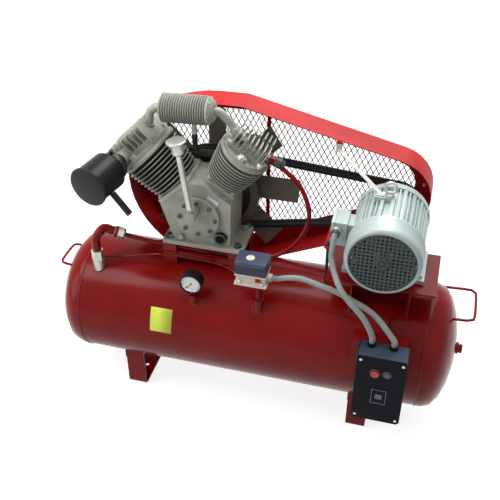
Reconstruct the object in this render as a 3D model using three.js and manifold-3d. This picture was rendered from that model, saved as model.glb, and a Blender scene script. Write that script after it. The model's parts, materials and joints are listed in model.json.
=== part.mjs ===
import * as THREE from "three";
import { mergeGeometries, mergeVertices } from "three/addons/utils/BufferGeometryUtils.js";
import Module from "manifold-3d";

const wasm = await Module();
wasm.setup();

// Belt-driven V-twin compressor on a horizontal receiver. Millimetres, +Z up, X along the receiver,
// -Y toward the side with the gauge. Sizes are first worked out from the floor and the receiver's middle.

const gap = 0.3; // clearance between pieces that touch

// receiver
const tankRadius = 200;
const tankWall = 5;
const tankLength = 1110;
const tankAxisZ = 300;
const headDepth = 100;
const headStraight = 18;
const tankSides = 36;

// feet and handles
const footWidth = 64;
const footSpread = 138;
const footThickness = 6;
const footLeftX = -398;
const footRightX = 376;
const anchorHoleRadius = 7;
const handleBarRadius = 4.5;

// pump
const crankX = -180;
const crankZ = 683;
const caseFrontY = -30;
const caseBackY = 104;
const caseWall = 10;
const platformTopZ = 570;
const baseWidth = 262;
const baseDepth = 142;
const baseThickness = 14;
const lowLean = 45; // degrees left of upright, first stage
const highLean = 33; // degrees right of upright, second stage
const lowY = 35;
const highY = 52;
const faceDistance = 104;
const flangeThickness = 12;
const lowTop = 250;
const highTop = 240;
const lowBore = 48;
const highBore = 27;
const lowFinRadius = 98;
const highFinRadius = 82;
const barrelSides = 18;
const lowFinCount = 8;
const highFinCount = 8;
const stroke = 60;
const rodLength = 180;
const pinRadius = 14;
const journalRadius = 20;

// flywheel, belts and motor
const beltY = 146;
const beltPitch = 19;
const beltWidth = 16;
const beltHeight = 10.5;
const wheelRadius = 150;
const wheelWidth = 44;
const bladeCount = 8;
const bladeTipRadius = 272;
const bladeRootRadius = 92;
const bladeWidth = 74;
const bladePitch = 26;
const bladeY = 189;
const pulleyRadius = 70;
const motorX = 402;
const motorZ = 719;
const shaftHeight = 112;
const motorFaceY = -173;
const motorCoverRadius = 111;
const motorCoverLength = 76;
const motorBodyRadius = 97;
const motorFinRadius = 108;
const motorFinCount = 22;
const motorBodyBackY = 62;
const motorShaftRadius = 14;
const standThickness = 8;
const standWidth = 320;
const standFrontY = -137;
const standBackY = 64;

// belt guard
const guardFrontY = 126;
const guardBackY = 221;
const guardSheet = 2;
const guardBigX = -173;
const guardBigZ = 690;
const guardBigRadius = 300;
const guardSmallX = 380;
const guardSmallZ = 754;
const guardSmallRadius = 126;
const guardBorder = 55;

// fittings on the receiver
const gaugeX = -168;
const gaugeZ = 521;
const gaugeFrontY = -168;
const gaugeRadius = 34;
const switchX = 21;
const switchY = -133;
const switchBottomZ = 552;
const switchWidth = 96;
const switchDepth = 64;
const switchBaseHeight = 40;
const switchCoverHeight = 46;
const starterX = 443;
const starterWidth = 144;
const starterBottomZ = 236;
const starterHeight = 252;
const starterBackY = -238;
const starterDepth = 68;
const bracketTopZ = 482;
const deliveryRadius = 7.5;
const conduitRadius = 9;
const inletX = -507;
const inletY = -96;

const group = new THREE.Group();
group.name = "belt_driven_air_compressor";

const paints = {
  red: [0x8e2a26, 0.35, 0.1],
  guardRed: [0xb82323, 0.4, 0.1],
  casting: [0x96968a, 0.55, 0.4],
  motorGrey: [0xb4c0be, 0.45, 0.3],
  steel: [0xb0b0ac, 0.35, 0.9],
  brass: [0xb08d4a, 0.35, 0.9],
  black: [0x14161a, 0.5, 0.1],
  navy: [0x2c3a5a, 0.5, 0.1],
  cream: [0xd7cdbe, 0.5, 0],
  rubber: [0x101010, 0.9, 0],
  conduit: [0xa5aaa5, 0.6, 0],
  blade: [0x55504a, 0.6, 0.3],
  white: [0xe8e8e4, 0.5, 0],
  stopRed: [0xc01818, 0.4, 0],
  startGreen: [0x1f7a3a, 0.4, 0],
};

// ---- helpers -----------------------------------------------------------------------------------

// a three.js geometry as a solid for boolean work
function solid(geometry) {
  const bare = geometry.index ? geometry.toNonIndexed() : geometry.clone();
  const plain = new THREE.BufferGeometry();
  plain.setAttribute("position", bare.getAttribute("position"));
  const merged = mergeVertices(plain, 1e-3);
  return new wasm.Manifold(
    new wasm.Mesh({
      numProp: 3,
      vertProperties: merged.attributes.position.array,
      triVerts: new Uint32Array(merged.index.array),
    }),
  );
}

function join(first, ...others) {
  return others.reduce((sum, other) => sum.add(other), first);
}

function cut(first, ...others) {
  return others.reduce((rest, other) => rest.subtract(other), first);
}

function piece(name, shape, paint) {
  let geometry = shape;
  if (!shape.isBufferGeometry) {
    const mesh = shape.asOriginal().simplify(0.02).getMesh();
    geometry = new THREE.BufferGeometry();
    geometry.setAttribute("position", new THREE.BufferAttribute(mesh.vertProperties, 3));
    geometry.setIndex(new THREE.BufferAttribute(mesh.triVerts, 1));
    geometry.computeVertexNormals();
  }
  const [color, roughness, metalness] = paints[paint];
  const material = new THREE.MeshStandardMaterial({ color, roughness, metalness });
  material.name = name;
  const mesh = new THREE.Mesh(geometry, material);
  mesh.name = name;
  group.add(mesh);
  return mesh;
}

// a box from its low corner to its high corner
function block(x0, y0, z0, x1, y1, z1) {
  const geometry = new THREE.BoxGeometry(x1 - x0, y1 - y0, z1 - z0);
  geometry.translate((x0 + x1) / 2, (y0 + y1) / 2, (z0 + z1) / 2);
  return solid(geometry);
}

// a profile of [radius, height] turned about the line from start toward direction
function turnedGeometry(profile, start, direction, sides) {
  const points = profile.map(([radius, height]) => new THREE.Vector2(radius, height));
  const geometry = new THREE.LatheGeometry(points, sides);
  const turn = new THREE.Quaternion();
  turn.setFromUnitVectors(new THREE.Vector3(0, 1, 0), direction.clone().normalize());
  geometry.applyQuaternion(turn);
  geometry.translate(start.x, start.y, start.z);
  return geometry;
}

function turned(profile, start, direction, sides = 24) {
  return solid(turnedGeometry(profile, start, direction, sides));
}

function at(x, y, z) {
  return new THREE.Vector3(x, y, z);
}

// a plain round bar between two points
function bar(from, to, radius, sides = 12) {
  const length = from.distanceTo(to);
  return turned([[0, 0], [radius, 0], [radius, length], [0, length]], from, to.clone().sub(from), sides);
}

// a round tube between two points, open at both ends
function sleeve(from, to, outer, inner, sides = 20) {
  const length = from.distanceTo(to);
  const ring = [[inner, 0], [outer, 0], [outer, length], [inner, length], [inner, 0]];
  return turned(ring, from, to.clone().sub(from), sides);
}

// a bar whose flats stand at the radius, for a hole round a shaft of that size
function drill(from, to, radius, sides = 16) {
  return bar(from, to, radius / Math.cos(Math.PI / sides), sides);
}

// a hexagon bar between two points
function hexagon(from, to, acrossFlats) {
  return bar(from, to, acrossFlats / Math.sqrt(3), 6);
}

// a round section drawn along a smooth curve through the points
function pipe(points, radius, sections, steps) {
  const ring = new THREE.Shape();
  for (let i = 0; i < sections; i++) {
    const angle = (i / sections) * Math.PI * 2;
    const spot = [radius * Math.cos(angle), radius * Math.sin(angle)];
    if (i === 0) ring.moveTo(...spot);
    else ring.lineTo(...spot);
  }
  ring.closePath();
  const curve = new THREE.CatmullRomCurve3(points, false, "centripetal");
  return new THREE.ExtrudeGeometry(
    ring, { steps, bevelEnabled: false, extrudePath: curve, curveSegments: 1 },
  );
}

// an outline of [x, z] points given thickness from y0 to y1, with holes
function slab(outline, y0, y1, holes = []) {
  const shape = new THREE.Shape(outline.map(([x, z]) => new THREE.Vector2(x, z)));
  for (const hole of holes) shape.holes.push(
    new THREE.Path(hole.map(([x, z]) => new THREE.Vector2(x, z))),
  );
  const geometry = new THREE.ExtrudeGeometry(shape, { depth: y1 - y0, bevelEnabled: false });
  geometry.rotateX(Math.PI / 2);
  geometry.translate(0, y1, 0);
  return solid(geometry);
}

function roundOutline(centreX, centreZ, radius, count) {
  const points = [];
  for (let i = 0; i < count; i++) {
    const angle = (i / count) * Math.PI * 2;
    points.push([centreX + radius * Math.cos(angle), centreZ + radius * Math.sin(angle)]);
  }
  return points;
}

// the outline of a loop drawn tight round two circles
function loopOutline(ax, az, ar, bx, bz, br, aCount, bCount) {
  const heading = Math.atan2(bz - az, bx - ax);
  const spread = Math.acos((ar - br) / Math.hypot(bx - ax, bz - az));
  const points = [];
  for (let i = 0; i <= aCount; i++) {
    const angle = heading + spread + (i / aCount) * (2 * Math.PI - 2 * spread);
    points.push([ax + ar * Math.cos(angle), az + ar * Math.sin(angle)]);
  }
  for (let i = 0; i <= bCount; i++) {
    const angle = heading - spread + (i / bCount) * 2 * spread;
    points.push([bx + br * Math.cos(angle), bz + br * Math.sin(angle)]);
  }
  return points;
}

// ---- receiver ----------------------------------------------------------------------------------

const tankHalf = tankLength / 2;
const alongX = at(1, 0, 0);
const alongY = at(0, 1, 0);
const upward = at(0, 0, 1);
const tankTopZ = tankAxisZ + tankRadius;

function tankHeightAt(y) {
  return tankAxisZ + Math.sqrt(tankRadius * tankRadius - y * y);
}

// the receiver's outside grown by the clearance, to cut what stands on it
const tankCutter = bar(
  at(-tankHalf, 0, tankAxisZ), at(tankHalf, 0, tankAxisZ), tankRadius + gap, tankSides,
);

piece(
  "tank_shell",
  sleeve(
    at(-tankHalf, 0, tankAxisZ), at(tankHalf, 0, tankAxisZ), tankRadius, tankRadius - tankWall, tankSides,
  ),
  "red",
);

function headProfile(radius, depth, straight, steps) {
  const points = [];
  for (let i = 0; i <= steps; i++) {
    const angle = (i / steps) * (Math.PI / 2);
    points.push([radius * Math.cos(angle), straight + (depth - straight) * Math.sin(angle)]);
  }
  points[steps][0] = 0;
  return points;
}

function tankHead(name, side) {
  const outer = headProfile(tankRadius, headDepth, headStraight, 5);
  const inner = headProfile(tankRadius - tankWall - 0.5, headDepth - tankWall - 2, headStraight, 3);
  const profile = [...inner.reverse(), [tankRadius - tankWall - 0.5, 0], [tankRadius, 0], ...outer];
  const start = at(side * (tankHalf + gap), 0, tankAxisZ);
  let body = turned(profile, start, at(side, 0, 0), tankSides);
  if (side > 0) {
    const spot = at(tankHalf + headDepth - 16, 0, tankAxisZ + 5);
    body = join(body, hexagon(spot, at(spot.x + 36, spot.y, spot.z), 27));
    body = join(body, bar(at(spot.x - 10, spot.y, spot.z), at(spot.x + 24, spot.y, spot.z), 19, 16));
  }
  piece(name, body, "red");
}
tankHead("tank_head_left", -1);
tankHead("tank_head_right", 1);

// a strap bent to a U across the receiver, with two anchor holes
function foot(name, x) {
  const outside = [];
  const inside = [];
  const bend = 16;
  const rise = tankAxisZ - 100;
  for (const [points, spread, lift, radius] of [
    [outside, footSpread, 0, bend],
    [inside, footSpread - footThickness, footThickness, bend - footThickness],
  ]) {
    points.push([spread, rise]);
    for (const side of [1, -1]) {
      for (let i = 0; i <= 3; i++) {
        const angle = side > 0 ? -(i / 3) * (Math.PI / 2) : -Math.PI / 2 - (i / 3) * (Math.PI / 2);
        const centre = side * (spread - radius);
        points.push([centre + radius * Math.cos(angle), lift + radius + radius * Math.sin(angle)]);
      }
    }
    points.push([-spread, rise]);
  }
  const shape = new THREE.Shape(
    [...outside, ...inside.reverse()].map(([y, z]) => new THREE.Vector2(y, z)),
  );
  const geometry = new THREE.ExtrudeGeometry(shape, { depth: footWidth, bevelEnabled: false });
  // the sketch lies in XY: send its X to Y, its Y to Z and its depth to X
  const basis = new THREE.Matrix4().makeBasis(at(0, 1, 0), at(0, 0, 1), at(1, 0, 0));
  geometry.applyMatrix4(basis);
  geometry.translate(x - footWidth / 2, 0, 0);
  const drills = [-1, 1].map(
    (side) => bar(at(x, side * 46, -5), at(x, side * 46, 20), anchorHoleRadius, 12),
  );
  piece(name, cut(solid(geometry), tankCutter, ...drills), "red");
}
foot("foot_left", footLeftX);
foot("foot_right", footRightX);

// a head's outside grown by the clearance
function headCutter(side) {
  const grown = headProfile(tankRadius + gap, headDepth + gap, headStraight, 5);
  return turned(
    [[0, -20], [tankRadius + gap, -20], ...grown],
    at(side * (tankHalf + gap), 0, tankAxisZ),
    at(side, 0, 0),
    tankSides,
  );
}

// the x of a head's outside at a given y and z
function headReach(y, z) {
  const ratio = (y * y + (z - tankAxisZ) ** 2) / (tankRadius * tankRadius);
  return tankHalf + headStraight + (headDepth - headStraight) * Math.sqrt(Math.max(0, 1 - ratio));
}

function handle(name, side, low, high, handleZ, reach) {
  const lowX = headReach(low, handleZ) - 8;
  const highX = headReach(high, handleZ) - 8;
  const outX = Math.max(lowX, highX) + 8 + reach;
  const corner = 12;
  const points = [
    at(side * lowX, low, handleZ),
    at(side * (outX - corner), low, handleZ + 4),
    at(side * (outX - 3), low + 4, handleZ + 5),
    at(side * outX, low + corner, handleZ + 5),
    at(side * outX, high - corner, handleZ + 5),
    at(side * (outX - 3), high - 4, handleZ + 5),
    at(side * (outX - corner), high, handleZ + 4),
    at(side * highX, high, handleZ),
  ];
  piece(name, cut(solid(pipe(points, handleBarRadius, 8, 14)), headCutter(side)), "red");
}
handle("handle_left", -1, -59, 51, 425, 36);
handle("handle_right", 1, -18, 134, 436, 58);

// ---- pump platform: four angle posts, four rails and two bearing flats, welded together ---------

const baseLeft = crankX - baseWidth / 2 + 12;
const baseRight = baseLeft + baseWidth;
const baseFront = caseFrontY - 14;
const baseBack = baseFront + baseDepth;
const pipeY = -27; // the delivery pipe passes under the crankcase here
const pipeZ = platformTopZ - 16.5;

function platform() {
  const parts = [];
  const flat = 8;
  const post = 45;
  const leaf = 5;
  const top = platformTopZ - flat;
  for (const x of [baseLeft, baseRight - post]) {
    parts.push(block(x, baseFront - 2, top, x + post, baseBack + 2, platformTopZ));
    const outerX = x === baseLeft ? x : x + post - leaf;
    for (const y of [baseFront - 2, baseBack + 2 - leaf]) {
      parts.push(block(x, y, tankAxisZ, x + post, y + leaf, top + 1));
      const leafY = y < 0 ? y : y + leaf - post;
      parts.push(block(outerX, leafY, tankAxisZ, outerX + leaf, leafY + post, top + 1));
    }
  }
  for (const y of [baseFront - 2 + leaf, baseBack + 2 - leaf - 6]) {
    parts.push(block(baseLeft + 1, y - 0.5, 518, baseRight - 1, y + 6, 546));
  }
  const bolts = [];
  for (const [x, y] of boltSpots()) bolts.push(
    bar(at(x, y, top - 4), at(x, y, platformTopZ + 4), 6.5, 10),
  );
  // holes in the front posts for the delivery pipe
  const passage = [baseLeft, baseRight - leaf].map((x) => {
    return bar(at(x - 1, pipeY, pipeZ), at(x + leaf + 1, pipeY, pipeZ), deliveryRadius + 3.5, 16);
  });
  return cut(join(...parts), tankCutter, ...bolts, ...passage);
}

function boltSpots() {
  const spots = [];
  for (const x of [baseLeft + 20, baseRight - 20]) {
    for (const y of [baseFront + 22, baseBack - 22]) spots.push([x, y]);
  }
  return spots;
}
piece("pump_platform", platform(), "red");

// ---- crankcase ---------------------------------------------------------------------------------

const lowAxis = at(-Math.sin((lowLean * Math.PI) / 180), 0, Math.cos((lowLean * Math.PI) / 180));
const highAxis = at(Math.sin((highLean * Math.PI) / 180), 0, Math.cos((highLean * Math.PI) / 180));
const lowAcross = at(lowAxis.z, 0, -lowAxis.x);
const highAcross = at(highAxis.z, 0, -highAxis.x);
const lowCrank = at(crankX, lowY, crankZ);
const highCrank = at(crankX, highY, crankZ);

// a point a distance along a cylinder's axis, then across it, then toward the back
function station(centre, axis, across, along, aside = 0, back = 0) {
  return centre.clone().addScaledVector(axis, along).addScaledVector(across, aside).add(at(0, back, 0));
}

// a box square to a cylinder's axis
function leaningBlock(centre, axis, across, along0, along1, aside0, aside1, y0, y1) {
  const geometry = new THREE.BoxGeometry(aside1 - aside0, y1 - y0, along1 - along0);
  geometry.applyMatrix4(new THREE.Matrix4().makeBasis(across, alongY, axis));
  const middle = station(centre, axis, across, (along0 + along1) / 2, (aside0 + aside1) / 2);
  geometry.translate(middle.x, (y0 + y1) / 2, middle.z);
  return solid(geometry);
}

const lowFaceHalf = 70;
const highFaceHalf = 58;

function caseOutline(inset) {
  const face = faceDistance - inset;
  const lowEnd = station(lowCrank, lowAxis, lowAcross, face, -lowFaceHalf + inset);
  const lowIn = station(lowCrank, lowAxis, lowAcross, face, lowFaceHalf - 10);
  const highIn = station(highCrank, highAxis, highAcross, face, -highFaceHalf + 10);
  const highEnd = station(highCrank, highAxis, highAcross, face, highFaceHalf - inset);
  const foot = platformTopZ + baseThickness + inset;
  return [
    [crankX - 84 + inset, foot],
    [lowEnd.x, lowEnd.z],
    [lowIn.x, lowIn.z],
    [highIn.x, highIn.z],
    [highEnd.x, highEnd.z],
    [crankX + 100 - inset, foot],
  ];
}

const bearingHousingY = caseBackY + 8;
const sightZ = platformTopZ + 46;

function crankcase() {
  const body = slab(caseOutline(0).reverse(), caseFrontY, caseBackY);
  const base = block(
    baseLeft, baseFront, platformTopZ + gap, baseRight, baseBack, platformTopZ + baseThickness + 1,
  );
  const housing = bar(at(crankX, caseBackY - 1, crankZ), at(crankX, bearingHousingY, crankZ), 54, 24);
  const heads = [];
  for (const [x, y] of boltSpots()) {
    heads.push(hexagon(at(x, y, platformTopZ - 8.5), at(x, y, platformTopZ + baseThickness + 10), 9));
    heads.push(
      hexagon(at(x, y, platformTopZ + baseThickness), at(x, y, platformTopZ + baseThickness + 10), 19),
    );
  }
  const plug = bar(
    at(crankX - 60, caseFrontY + 2, platformTopZ + 30),
    at(crankX - 60, caseFrontY - 10, platformTopZ + 30),
    10,
    6,
  );
  const cavity = slab(caseOutline(caseWall).reverse(), caseFrontY + caseWall, caseBackY - caseWall);
  const mouth = drill(
    at(crankX, caseFrontY - 1, crankZ), at(crankX, caseFrontY + caseWall + 1, crankZ), 50 + gap, 24,
  );
  const shaftHole = drill(
    at(crankX, caseBackY - caseWall - 1, crankZ),
    at(crankX, bearingHousingY + 1, crankZ),
    journalRadius + gap,
    24,
  );
  const lowMouth = bar(
    station(lowCrank, lowAxis, lowAcross, 60),
    station(lowCrank, lowAxis, lowAcross, 110),
    lowBore + 4,
    24,
  );
  const highMouth = bar(
    station(highCrank, highAxis, highAcross, 60),
    station(highCrank, highAxis, highAcross, 110),
    highBore + 8,
    24,
  );
  const sightHole = drill(
    at(crankX + 72, caseFrontY - 1, sightZ),
    at(crankX + 72, caseFrontY + caseWall + 1, sightZ),
    15 + gap,
    16,
  );
  return cut(
    join(body, base, housing, plug, ...heads), cavity, mouth, shaftHole, lowMouth, highMouth, sightHole,
  );
}
piece("crankcase", crankcase(), "casting");

const coverFrontY = caseFrontY - 12;

function bearingCover() {
  const disc = bar(at(crankX, coverFrontY, crankZ), at(crankX, caseFrontY - gap, crankZ), 70, 28);
  const spigot = bar(at(crankX, caseFrontY - 1, crankZ), at(crankX, caseFrontY + 22, crankZ), 50, 24);
  const bolts = [];
  for (let i = 0; i < 8; i++) {
    const angle = (i / 8) * Math.PI * 2;
    const x = crankX + 57 * Math.cos(angle);
    const z = crankZ + 57 * Math.sin(angle);
    bolts.push(hexagon(at(x, coverFrontY + 1, z), at(x, coverFrontY - 6, z), 12));
  }
  const blind = drill(
    at(crankX, coverFrontY + 8, crankZ), at(crankX, caseFrontY + 30, crankZ), pinRadius + gap, 20,
  );
  return cut(join(disc, spigot, ...bolts), blind);
}
piece("bearing_cover", bearingCover(), "casting");

piece(
  "oil_sight_glass",
  join(
    bar(at(crankX + 72, caseFrontY - 12, sightZ), at(crankX + 72, caseFrontY - gap, sightZ), 20, 24),
    bar(at(crankX + 72, caseFrontY - 1, sightZ), at(crankX + 72, caseFrontY + 9, sightZ), 15, 16),
  ),
  "black",
);

// oil filler: a boss on the cover, a leaning pipe and a cap that lifts off
const fillerX = crankX - 8;
const fillerZ = crankZ + 28;
const fillerY = coverFrontY - 34;
const breatherLean = at(-Math.sin(0.13), 0, Math.cos(0.13));
const breatherFoot = at(fillerX, fillerY, fillerZ).addScaledVector(breatherLean, 21);
const breatherTop = breatherFoot.clone().addScaledVector(breatherLean, 196);
piece(
  "oil_filler",
  cut(
    join(
      bar(at(fillerX, coverFrontY - gap, fillerZ), at(fillerX, fillerY - 17, fillerZ), 17, 20),
      bar(at(fillerX, fillerY, fillerZ), breatherFoot.clone().addScaledVector(breatherLean, 3), 13, 16),
    ),
    drill(
      breatherFoot.clone().addScaledVector(breatherLean, -6),
      breatherFoot.clone().addScaledVector(breatherLean, 20),
      9 + gap,
      16,
    ),
  ),
  "casting",
);
piece(
  "breather_pipe",
  turned(
    [[6, 0], [9, 0], [9, 192], [19, 200], [19, 232], [14, 232], [14, 202], [6, 192], [6, 0]],
    breatherFoot.clone().addScaledVector(breatherLean, -5),
    breatherLean,
    16,
  ),
  "steel",
);
const capSeat = breatherFoot.clone().addScaledVector(breatherLean, 227 + gap);
piece(
  "breather_cap",
  turned(
    [[0, -20], [14 - gap, -20], [14 - gap, 0], [29, 0], [30, 2], [30, 7], [27, 9], [0, 9]],
    capSeat,
    breatherLean,
    20,
  ),
  "steel",
);

// ---- cylinders and heads -----------------------------------------------------------------------

function finnedBarrel(centre, axis, across, bore, finRadius, finCount, top, flangeHalf, taper) {
  const start = faceDistance + flangeThickness;
  const core = bore + 9;
  const profile = [[bore, faceDistance + gap], [core + 2, faceDistance + gap]];
  const pitch = (top - start - 10) / finCount;
  profile.push([core + 2, start + 8]);
  for (let i = 0; i < finCount; i++) {
    const low = start + 10 + i * pitch;
    const radius = finRadius - taper * (1 - i / (finCount - 1));
    const last = i === finCount - 1;
    profile.push([core, low], [radius, low + 1.2], [radius, last ? top : low + 5]);
  }
  profile.push([bore, top], [bore, faceDistance + gap]);
  const barrel = turned(profile, centre, axis, barrelSides);
  const flange = leaningBlock(
    centre, axis, across, faceDistance + gap, start, -flangeHalf, flangeHalf, centre.y - flangeHalf,
    centre.y + flangeHalf,
  );
  const spots = [];
  for (const a of [-1, 1]) {
    for (const b of [-1, 1]) {
      const from = station(centre, axis, across, start - 1, a * (flangeHalf - 12), b * (flangeHalf - 12));
      spots.push(hexagon(from, from.clone().addScaledVector(axis, 9), 17));
    }
  }
  const hole = bar(
    station(centre, axis, across, 90), station(centre, axis, across, top + 10), bore, barrelSides,
  );
  return join(barrel, cut(flange, hole), ...spots);
}
piece(
  "low_cylinder",
  finnedBarrel(lowCrank, lowAxis, lowAcross, lowBore, lowFinRadius, lowFinCount, lowTop, 66, 14),
  "casting",
);
piece(
  "high_cylinder",
  finnedBarrel(highCrank, highAxis, highAcross, highBore, highFinRadius, highFinCount, highTop, 54, 16),
  "casting",
);

function cylinderHead(
  centre, axis, across, top, discRadius, blockAside, blockBack, blockHeight, finHeight, fins, boltRing,
) {
  const parts = [
    turned(
      [[0, top + gap], [discRadius, top + gap], [discRadius, top + 12], [0, top + 12]], centre, axis, 24,
    ),
  ];
  const blockTop = top + 12 + blockHeight;
  const low = -blockAside;
  parts.push(
    leaningBlock(
      centre, axis, across, top + 11, blockTop, low, blockAside, centre.y - blockBack,
      centre.y + blockBack,
    ),
  );
  for (let i = 0; i < fins; i++) {
    const aside = low + 4 + (i / (fins - 1)) * (2 * blockAside - 8);
    for (const side of [-1, 1]) {
      const y0 = side < 0 ? centre.y - blockBack : centre.y + 8;
      const y1 = side < 0 ? centre.y - 8 : centre.y + blockBack;
      parts.push(
        leaningBlock(
          centre, axis, across, blockTop - 1, blockTop + finHeight, aside - 2, aside + 2, y0, y1,
        ),
      );
    }
  }
  for (let i = 0; i < 6; i++) {
    const angle = (i / 6) * Math.PI * 2 + Math.PI / 6;
    const from = station(
      centre, axis, across, top + 10, boltRing * Math.cos(angle), boltRing * Math.sin(angle),
    );
    parts.push(hexagon(from, from.clone().addScaledVector(axis, 14), 19));
  }
  return join(...parts);
}

const lowHeadSide = 76;
const lowPort = station(lowCrank, lowAxis, lowAcross, lowTop + 48, 58);
const highHeadSide = 56;
const highPort = station(highCrank, highAxis, highAcross, highTop + 32, -40);
const highOutlet = station(highCrank, highAxis, highAcross, highTop + 24, highHeadSide - 4);
const coolerLeft = at(-300, 37, 1006);
const coolerRight = at(-162, 41, 1010);
const coolerRun = coolerRight.clone().sub(coolerLeft);
const coolerAim = coolerRun.clone().normalize();

function boss(from, aim, length, outer, bore, sides = 16) {
  return [
    bar(from, from.clone().addScaledVector(aim, length), outer, sides),
    drill(
      from.clone().addScaledVector(aim, 4), from.clone().addScaledVector(aim, length + 1), bore, sides,
    ),
  ];
}

// the room a transfer pipe and its nut need through a head's fins
function finNotch(port, aim) {
  return bar(port.clone().addScaledVector(aim, -3), port.clone().addScaledVector(aim, 60), 21, 12);
}

// first-stage head: outlet boss toward the intercooler and inlet boss toward the air filter,
// each on its own chamber
const transferRadius = 13;
const lowOutAim = at(0.25, 0, 0.97).normalize();
const [lowOutBoss, lowOutBore] = boss(lowPort, lowOutAim, 18, 18, transferRadius + gap);
const filterAim = at(-0.25, -0.966, -0.06).normalize();
const filterStart = station(lowCrank, lowAxis, lowAcross, lowTop + 33, -40, -58);
const filterBossLength = 24;
const filterRoot = filterStart.clone().addScaledVector(filterAim, -10);
const spigotRadius = 18;
const [lowInBoss, lowInBore] = boss(
  filterRoot, filterAim, filterBossLength + 10, 25, spigotRadius + gap, 20,
);
const lowChambers = [
  leaningBlock(lowCrank, lowAxis, lowAcross, lowTop + 20, lowTop + 52, 34, 74, lowY - 20, lowY + 20),
  leaningBlock(lowCrank, lowAxis, lowAcross, lowTop + 10, lowTop + 56, -70, -10, lowY - 60, lowY - 10),
];
piece(
  "low_head",
  cut(
    join(
      cut(
        cylinderHead(lowCrank, lowAxis, lowAcross, lowTop, 94, lowHeadSide, 62, 16, 52, 8, 84),
        finNotch(lowPort, lowOutAim),
      ),
      ...lowChambers,
      lowOutBoss,
      lowInBoss,
    ),
    lowOutBore,
    lowInBore,
  ),
  "casting",
);

// second-stage head: inlet boss from the intercooler, outlet boss to the delivery pipe
const highInAim = at(-0.6, 0, 0.8);
const [highInBoss, highInBore] = boss(highPort, highInAim, 16, 18, transferRadius + gap);
const highOutAim = at(0.96, -0.1, -0.25).normalize();
const [highOutBoss, highOutBore] = boss(highOutlet, highOutAim, 18, 14, 8 + gap);
const highChamber = leaningBlock(
  highCrank, highAxis, highAcross, highTop + 18, highTop + 38, -54, -18, highY - 19, highY + 19,
);
piece(
  "high_head",
  cut(
    join(
      cut(
        cylinderHead(highCrank, highAxis, highAcross, highTop, 80, highHeadSide, 50, 14, 44, 8, 70),
        finNotch(highPort, highInAim),
      ),
      highChamber,
      highInBoss,
      highOutBoss,
    ),
    highInBore,
    highOutBore,
  ),
  "casting",
);

// intercooler: a ribbed drum with a turned cap at each end
const ribCount = 14;

function intercooler() {
  const length = coolerRun.length();
  const profile = [[0, -6], [30, -6], [36, -1]];
  for (let i = 0; i < ribCount; i++) {
    const low = (i / ribCount) * length;
    profile.push(
      [36, low], [44, low + (length / ribCount) * 0.35], [44, low + (length / ribCount) * 0.65],
    );
  }
  profile.push([36, length], [42, length + 6], [38, length + 16], [24, length + 24], [0, length + 24]);
  const drum = turned(profile, coolerLeft, coolerAim, 14);
  const leftHole = drill(
    coolerLeft.clone().addScaledVector(coolerAim, -7),
    coolerLeft.clone().addScaledVector(coolerAim, 8),
    transferRadius + gap,
    16,
  );
  const rightHole = drill(
    coolerRight.clone().addScaledVector(coolerAim, 12),
    coolerRight.clone().addScaledVector(coolerAim, 25),
    transferRadius + gap,
    16,
  );
  return cut(drum, leftHole, rightHole);
}
piece("intercooler", intercooler(), "casting");

const lowPipeStart = lowPort.clone().addScaledVector(lowOutAim, 5);
const coolerLeftEnd = coolerLeft.clone().addScaledVector(coolerAim, 4);
piece(
  "low_transfer_pipe",
  pipe(
    [
      lowPipeStart,
      lowPort.clone().addScaledVector(lowOutAim, 20),
      lowPort.clone().addScaledVector(lowOutAim, 30),
      at(-340, 36, 985),
      coolerLeftEnd.clone().addScaledVector(coolerAim, -22),
      coolerLeftEnd.clone().addScaledVector(coolerAim, -14),
      coolerLeftEnd,
    ],
    transferRadius,
    10,
    12,
  ),
  "casting",
);
const coolerRightEnd = coolerRight.clone().addScaledVector(coolerAim, 14);
const highPipeEnd = highPort.clone().addScaledVector(highInAim, 5);
function highTransfer() {
  const run = pipe(
    [
      coolerRightEnd,
      coolerRightEnd.clone().addScaledVector(coolerAim, 13),
      coolerRightEnd.clone().addScaledVector(coolerAim, 20),
      at(-104, 47, 986),
      highPort.clone().addScaledVector(highInAim, 36),
      highPort.clone().addScaledVector(highInAim, 20),
      highPipeEnd,
    ],
    transferRadius,
    10,
    12,
  );
  const nutFrom = highPort.clone().addScaledVector(highInAim, 16 + gap);
  return join(solid(run), hexagon(nutFrom, nutFrom.clone().addScaledVector(highInAim, 16), 31));
}
piece("high_transfer_pipe", highTransfer(), "casting");

// relief valve hung from the intercooler
const reliefTop = coolerLeft.clone().addScaledVector(coolerAim, 96).add(at(0, 0, -44.6));
piece(
  "relief_valve",
  turned(
    [[0, 0], [7, 0], [7, 34], [9, 36], [9, 52], [7, 54], [7, 58], [8.5, 60], [8.5, 92], [0, 92]],
    reliefTop,
    at(0, 0, -1),
    14,
  ),
  "black",
);

// air filter: canister with its clamp and the snorkel below
const filterFace = filterStart.clone().addScaledVector(filterAim, filterBossLength + gap);
const filterRadius = 60;
const neckRadius = 42;
const filterSides = 24;
const filterProfile = [
  [0, 0], [24, 0], [24, 15], [38, 16], [neckRadius, 20], [neckRadius, 46], [filterRadius - 2, 55],
  [filterRadius - 2, 146], [filterRadius, 148], [filterRadius, 156], [0, 156],
];
piece(
  "air_filter",
  join(
    turned(filterProfile, filterFace, filterAim, filterSides),
    bar(
      filterStart.clone().addScaledVector(filterAim, 6),
      filterFace.clone().addScaledVector(filterAim, 2),
      spigotRadius,
      20,
    ),
  ),
  "black",
);

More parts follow.
